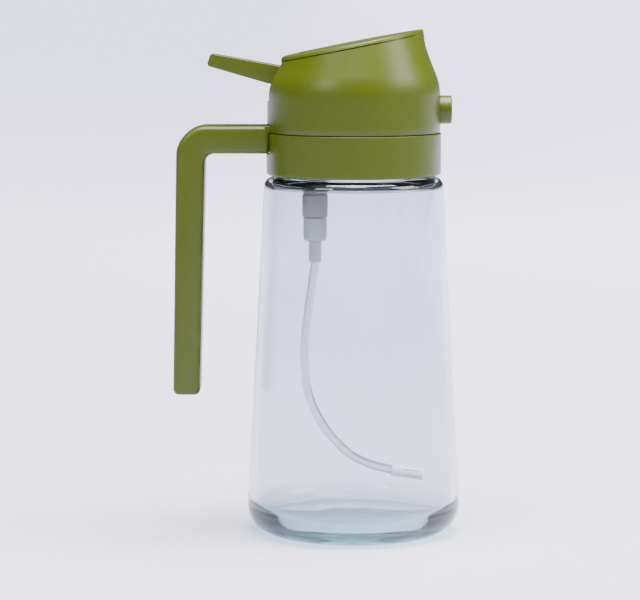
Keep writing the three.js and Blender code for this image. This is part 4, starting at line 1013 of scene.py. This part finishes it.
# Valve housing and the two steel check balls. The housing is natural polypropylene, pushed into the
# pump's lower end, with a stem below for the suction tube.
for name in ("inlet_ball", "outlet_ball"):
    dress(name, stainless)
housing_high = cylinder_low - fit
housing_low = housing_high - 9 * mm
stem_low = housing_low - 8.1 * mm
plug_top = cylinder_low + socket_depth - fit
stem_radius = 2.45 * mm
housing_radius = 4.5 * mm
plug_radius = 2.9 * mm
ball_room = 2.4 * mm
inlet_radius = 1.0 * mm
stem_socket = 6.8 * mm
tube_radius = 1.7 * mm
seat_z = housing_low + 1.6 * mm
housing = turned("valve_housing_moulding", rounded([
    (tube_radius + fit, stem_low, 0.1 * mm),
    (stem_radius, stem_low, 0.3 * mm),
    (stem_radius, housing_low, 0.4 * mm),
    (housing_radius, housing_low, 1.5 * mm),
    (housing_radius, housing_high, 0.4 * mm),
    (plug_radius, housing_high, 0.2 * mm),
    (plug_radius, plug_top, 0.2 * mm),
    (ball_room, plug_top, 0.1 * mm),
    (ball_room, seat_z + 1 * mm, 0.1 * mm),
    (inlet_radius, seat_z, 0.1 * mm),
    (inlet_radius, stem_low + stem_socket, 0.1 * mm),
    (tube_radius + fit, stem_low + stem_socket, 0.1 * mm),
], steps=5), segments=72, centre=(pump_x, 0), loop=True)
housing.data.materials.append(natural_pp)
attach(housing, "head")
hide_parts("valve_housing")


# Suction tube. Extruded polyethylene, 3.4 mm outside and 2.2 mm inside, bent to reach the front of
# the bottle's floor. It is milky clear, so its edges look darker than its middle.
def smooth_path(points, spans):
    """Points along a Catmull-Rom curve through the given ones."""
    path = []
    padded = [points[0] * 2 - points[1]] + points + [points[-1] * 2 - points[-2]]
    for i in range(1, len(padded) - 2):
        a, b, c, d = padded[i - 1:i + 3]
        for step in range(spans):
            t = step / spans
            path.append(0.5 * (2 * b + (c - a) * t + (2 * a - 5 * b + 4 * c - d) * t ** 2
                               + (3 * b - a - 3 * c + d) * t ** 3))
    return path + [points[-1]]


def hollow_tube(name, path, outer, inner, sides=36):
    """Tube with a wall along a path that lies in one plane or nearly so."""
    rings = []
    for reach in (outer, inner):
        layer = []
        for i, point in enumerate(path):
            along = (path[min(i + 1, len(path) - 1)] - path[max(i - 1, 0)]).normalized()
            side = along.cross(tube_side).normalized()
            other = side.cross(along)
            layer.append([point + reach * (side * math.cos(2 * math.pi * k / sides)
                                           + other * math.sin(2 * math.pi * k / sides))
                          for k in range(sides)])
        rings += layer if reach == outer else layer[::-1]
    return lofted(name, rings, "loop")


tube_side = Vector((0, 1, 0))
tube_route = [(-14.8, 111.2), (-14.8, 104.7), (-15.8, 97.7), (-17.5, 86), (-18.9, 74), (-18.7, 62.5),
              (-16.9, 52.5), (-12.9, 43.5), (-7.6, 36), (-1.2, 30), (6, 26.3), (13.2, 24.3), (18, 23.5)]
tube_path = smooth_path([Vector((x, 0, z)) * mm for x, z in tube_route], 8)
tube = hollow_tube("suction_tube", tube_path, tube_radius, 1.1 * mm)

polyethylene, tree = new_material("milky_polyethylene")
place = node(tree, "ShaderNodeTexCoord").outputs["Object"]
haze = node(tree, "ShaderNodeTexNoise", {"Vector": place, "Scale": 1 / (3 * mm), "Detail": 3.0})
dull = node(tree, "ShaderNodeMapRange", {
    "Value": haze.outputs["Fac"], "To Min": 0.06, "To Max": 0.2})
milk = node(tree, "ShaderNodeBsdfPrincipled", {
    "Base Color": linear("#eff0f4"), "Roughness": dull.outputs["Result"], "IOR": 1.5,
    "Transmission Weight": 0.95})
surface = lit_through(tree, milk, "#d8dade")
node(tree, "ShaderNodeOutputMaterial", {"Surface": surface.outputs["Shader"]})
tube.data.materials.append(polyethylene)
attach(tube, "head")
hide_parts("dip_tube")


# Intake strainer. A short white polypropylene sleeve pushed over the tube's lower end, with slots
# round it that keep crumbs out of the pump.
tree = geometry_tree("Slotted sleeve", {
    "Slots": "NodeSocketInt", "Slot size": "NodeSocketVector", "Slot place": "NodeSocketVector",
    "Finish": "NodeSocketMaterial"})
given = node(tree, "NodeGroupInput").outputs
cutter = node(tree, "GeometryNodeMeshCube", {"Size": given["Slot size"]})
shifted = node(tree, "GeometryNodeTransform", {
    "Geometry": cutter.outputs["Mesh"], "Translation": given["Slot place"]})
stations = node(tree, "GeometryNodeMeshLine", {"Count": given["Slots"], "Offset": (0, 0, 0)})
order = node(tree, "GeometryNodeInputIndex")
share = node(tree, "ShaderNodeMath", {0: order.outputs[0], 1: given["Slots"]}, operation="DIVIDE")
turn = node(tree, "ShaderNodeMath", {0: share.outputs[0], 1: 2 * math.pi}, operation="MULTIPLY")
about = node(tree, "ShaderNodeCombineXYZ", {"X": turn.outputs[0]})
round_axis = node(tree, "GeometryNodeInstanceOnPoints", {
    "Points": stations.outputs["Mesh"], "Instance": shifted.outputs["Geometry"],
    "Rotation": about.outputs[0]})
apart = node(tree, "GeometryNodeRealizeInstances", {"Geometry": round_axis.outputs["Instances"]})
slotted = node(tree, "GeometryNodeMeshBoolean", {"Mesh 1": given["Geometry"]}, operation="DIFFERENCE")
tree.links.new(apart.outputs["Geometry"], slotted.inputs["Mesh 2"])
ended(tree, slotted.outputs["Mesh"], given["Finish"])

white_pp = moulded_plastic("white_polypropylene", "#f4f4f6", "#ececf0", 0.4, 1.49)
sleeve_radius = 2.3 * mm
sleeve_start, sleeve_end = -3.4 * mm, 9.2 * mm
strainer = turned("intake_strainer_sleeve", rounded([
    (tube_radius + fit, sleeve_start, 0.1 * mm),
    (sleeve_radius, sleeve_start, 0.3 * mm),
    (sleeve_radius, sleeve_end, 0.6 * mm),
    (0, sleeve_end, 0),
    (0, sleeve_end - 1 * mm, 0),
    (1.1 * mm, sleeve_end - 1 * mm, 0),
    (1.1 * mm, fit, 0),
    (tube_radius + fit, fit, 0),
], steps=5), segments=48, loop=True)
strainer.data.transform(Matrix.Rotation(math.pi / 2, 4, "Y"))
grown_by(strainer, tree, {
    "Slots": 6, "Slot size": (5.5 * mm, 0.7 * mm, 1.6 * mm),
    "Slot place": (4 * mm, 0, sleeve_radius), "Finish": white_pp})
tip = tube_path[-1]
along = (tip - tube_path[-2]).normalized()
strainer.data.transform(Matrix.Translation(tip) @ Matrix.Rotation(math.atan2(-along.z, along.x), 4, "Y"))
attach(strainer, "head")
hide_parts("intake_strainer")


# Outlet hose. A soft milky tube from the riser's spigot round the pouring channel to the nozzle,
# held at both ends by the spigots that it is pushed on.
tube_side = Vector((0, 0, 1))
hose_bend = 7 * mm
spigot_end = -riser_radius - 2 * fit
body_side = -4 * mm - 2 * fit
bend_y = min(spigot_end, body_side) - 4 * mm
run_y = bend_y - hose_bend
inlet_x = 25 * mm
hose_rise = nozzle_z - spigot_z
hose_path = smooth_path([
    Vector((riser_x, spigot_end, spigot_z)),
    Vector((riser_x, bend_y, spigot_z)),
    Vector((riser_x + hose_bend * 0.29, bend_y - hose_bend * 0.71, spigot_z)),
    Vector((riser_x + hose_bend, run_y, spigot_z + hose_rise * 0.1)),
    Vector(((riser_x + inlet_x) / 2, run_y, spigot_z + hose_rise / 2)),
    Vector((inlet_x - hose_bend, run_y, nozzle_z - hose_rise * 0.1)),
    Vector((inlet_x - hose_bend * 0.29, bend_y - hose_bend * 0.71, nozzle_z)),
    Vector((inlet_x, bend_y, nozzle_z)),
    Vector((inlet_x, body_side, nozzle_z)),
], 6)
hose = hollow_tube("outlet_hose_tube", hose_path, 1.9 * mm, 1.2 * mm, 28)
hose.data.materials.append(polyethylene)
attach(hose, "head")
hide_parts("outlet_hose")


# Nozzle cap. A round olive ABS cap at the front of the head that holds the swirl insert on the
# nozzle's body; the mist leaves through the small hole in its face.
nozzle_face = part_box("nozzle_cap")[1].x
cap_back = nozzle_face - 10 * mm
cap_bore = 4.3 * mm
mist_hole = 0.4 * mm
face_sink = nozzle_face - 0.5 * mm
cap_inside = nozzle_face - 1.9 * mm
cap = turned("nozzle_cap_moulding", rounded([
    (cap_bore, cap_back, 0.2 * mm),
    (nozzle_radius, cap_back, 0.3 * mm),
    (nozzle_radius, nozzle_face, 0.6 * mm),
    (3.4 * mm, nozzle_face, 0.3 * mm),
    (3.0 * mm, face_sink, 0.2 * mm),
    (1.5 * mm, face_sink, 0.2 * mm),
    (mist_hole, nozzle_face - 1.3 * mm, 0),
    (mist_hole, cap_inside, 0),
    (cap_bore, cap_inside, 0.1 * mm),
], steps=6), segments=96, loop=True)
cap.data.transform(Matrix.Translation((0, 0, nozzle_z)) @ Matrix.Rotation(math.pi / 2, 4, "Y"))
cap.data.materials.append(olive_abs)
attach(cap, "head")
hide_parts("nozzle_cap")


# Studio. A pale floor that grows bright behind the bottle, a dim even surround, a large softbox
# overhead, weaker ones at the left and the right, and a camera a little above the bottle's top.
paper, tree = new_material("matt_paper")
place = node(tree, "ShaderNodeTexCoord").outputs["Object"]
fibre = node(tree, "ShaderNodeTexNoise", {"Vector": place, "Scale": 40.0, "Detail": 3.0})
shade = node(tree, "ShaderNodeMix", {
    "Factor": fibre.outputs["Fac"], "A": linear("#cecce4"), "B": linear("#d0cee6")}, data_type="RGBA")
sheet = node(tree, "ShaderNodeBsdfDiffuse", {"Color": shade.outputs["Result"]})
# Far from the lamps the floor glows by itself, as a lit background does: painted light, a little
# brighter towards the right as if the right softbox lit it.
sides = node(tree, "ShaderNodeSeparateXYZ", {"Vector": place})
far = node(tree, "ShaderNodeMapRange", {
    "Value": sides.outputs["Y"], "From Min": 0.0, "From Max": 1.5, "To Min": 0.0, "To Max": 2.7},
    interpolation_type="SMOOTHSTEP")
right = node(tree, "ShaderNodeMapRange", {
    "Value": sides.outputs["X"], "From Min": -0.3, "From Max": 0.5, "To Min": 1.0, "To Max": 1.3},
    interpolation_type="SMOOTHSTEP")
glow = node(tree, "ShaderNodeMath", {0: far.outputs["Result"], 1: right.outputs["Result"]},
            operation="MULTIPLY")
lit = node(tree, "ShaderNodeEmission", {"Color": linear("#e2e0ff"), "Strength": glow.outputs[0]})
both = node(tree, "ShaderNodeAddShader", {0: sheet.outputs["BSDF"], 1: lit.outputs["Emission"]})
node(tree, "ShaderNodeOutputMaterial", {"Surface": both.outputs["Shader"]})
floor_half = 40.0
floor = object_from("floor", [(-floor_half, -floor_half, 0), (floor_half, -floor_half, 0),
                              (floor_half, floor_half, 0), (-floor_half, floor_half, 0)], [(0, 1, 2, 3)])
floor.data.materials.append(paper)

# The room lights the bottle only faintly, and past the floor's far edge it looks as pale as the floor.
surround = bpy.data.worlds.new("soft_surround")
surround.use_nodes = True
tree = surround.node_tree
tree.nodes.clear()
faint = node(tree, "ShaderNodeBackground", {"Color": linear("#e8e9f2"), "Strength": 0.16})
pale = node(tree, "ShaderNodeBackground", {"Color": linear("#e8e9f2"), "Strength": 3.6})
path = node(tree, "ShaderNodeLightPath")
seen = node(tree, "ShaderNodeMixShader", {
    0: path.outputs["Is Camera Ray"], 1: faint.outputs["Background"], 2: pale.outputs["Background"]})
node(tree, "ShaderNodeOutputWorld", {"Surface": seen.outputs["Shader"]})
bpy.context.scene.world = surround


lamp_colour = "#fffef8"
lamp_target = Vector((0, 0, 0.12))


def softbox(name, place, width, height, watts):
    """A rectangular soft light that faces the bottle's middle."""
    light = bpy.data.lights.new(name, "AREA")
    light.shape = "RECTANGLE"
    light.size, light.size_y = width, height
    light.energy = watts
    light.color = linear(lamp_colour)[:3]
    lamp = bpy.data.objects.new(name, light)
    lamp.location = place
    lamp.rotation_euler = (lamp_target - Vector(place)).to_track_quat("-Z", "Y").to_euler()
    bpy.context.scene.collection.objects.link(lamp)


softbox("softbox_above", (0.12, -0.12, 1.45), 1.15, 0.85, 112)
softbox("softbox_left", (-0.68, -0.77, 0.75), 0.45, 0.26, 5.5)
softbox("softbox_right", (1.0, -0.21, 0.79), 0.7, 0.5, 14)

camera_height = 0.212
camera_distance = 1.09
camera_dip = math.radians(6.39)
camera_data = bpy.data.cameras.new("camera")
camera_data.sensor_width = 36
camera_data.lens = 160.3
camera = bpy.data.objects.new("camera", camera_data)
camera.location = (-0.0129, -camera_distance, camera_height)
camera.rotation_euler = (math.pi / 2 - camera_dip, 0, 0)
bpy.context.scene.collection.objects.link(camera)
bpy.context.scene.camera = camera
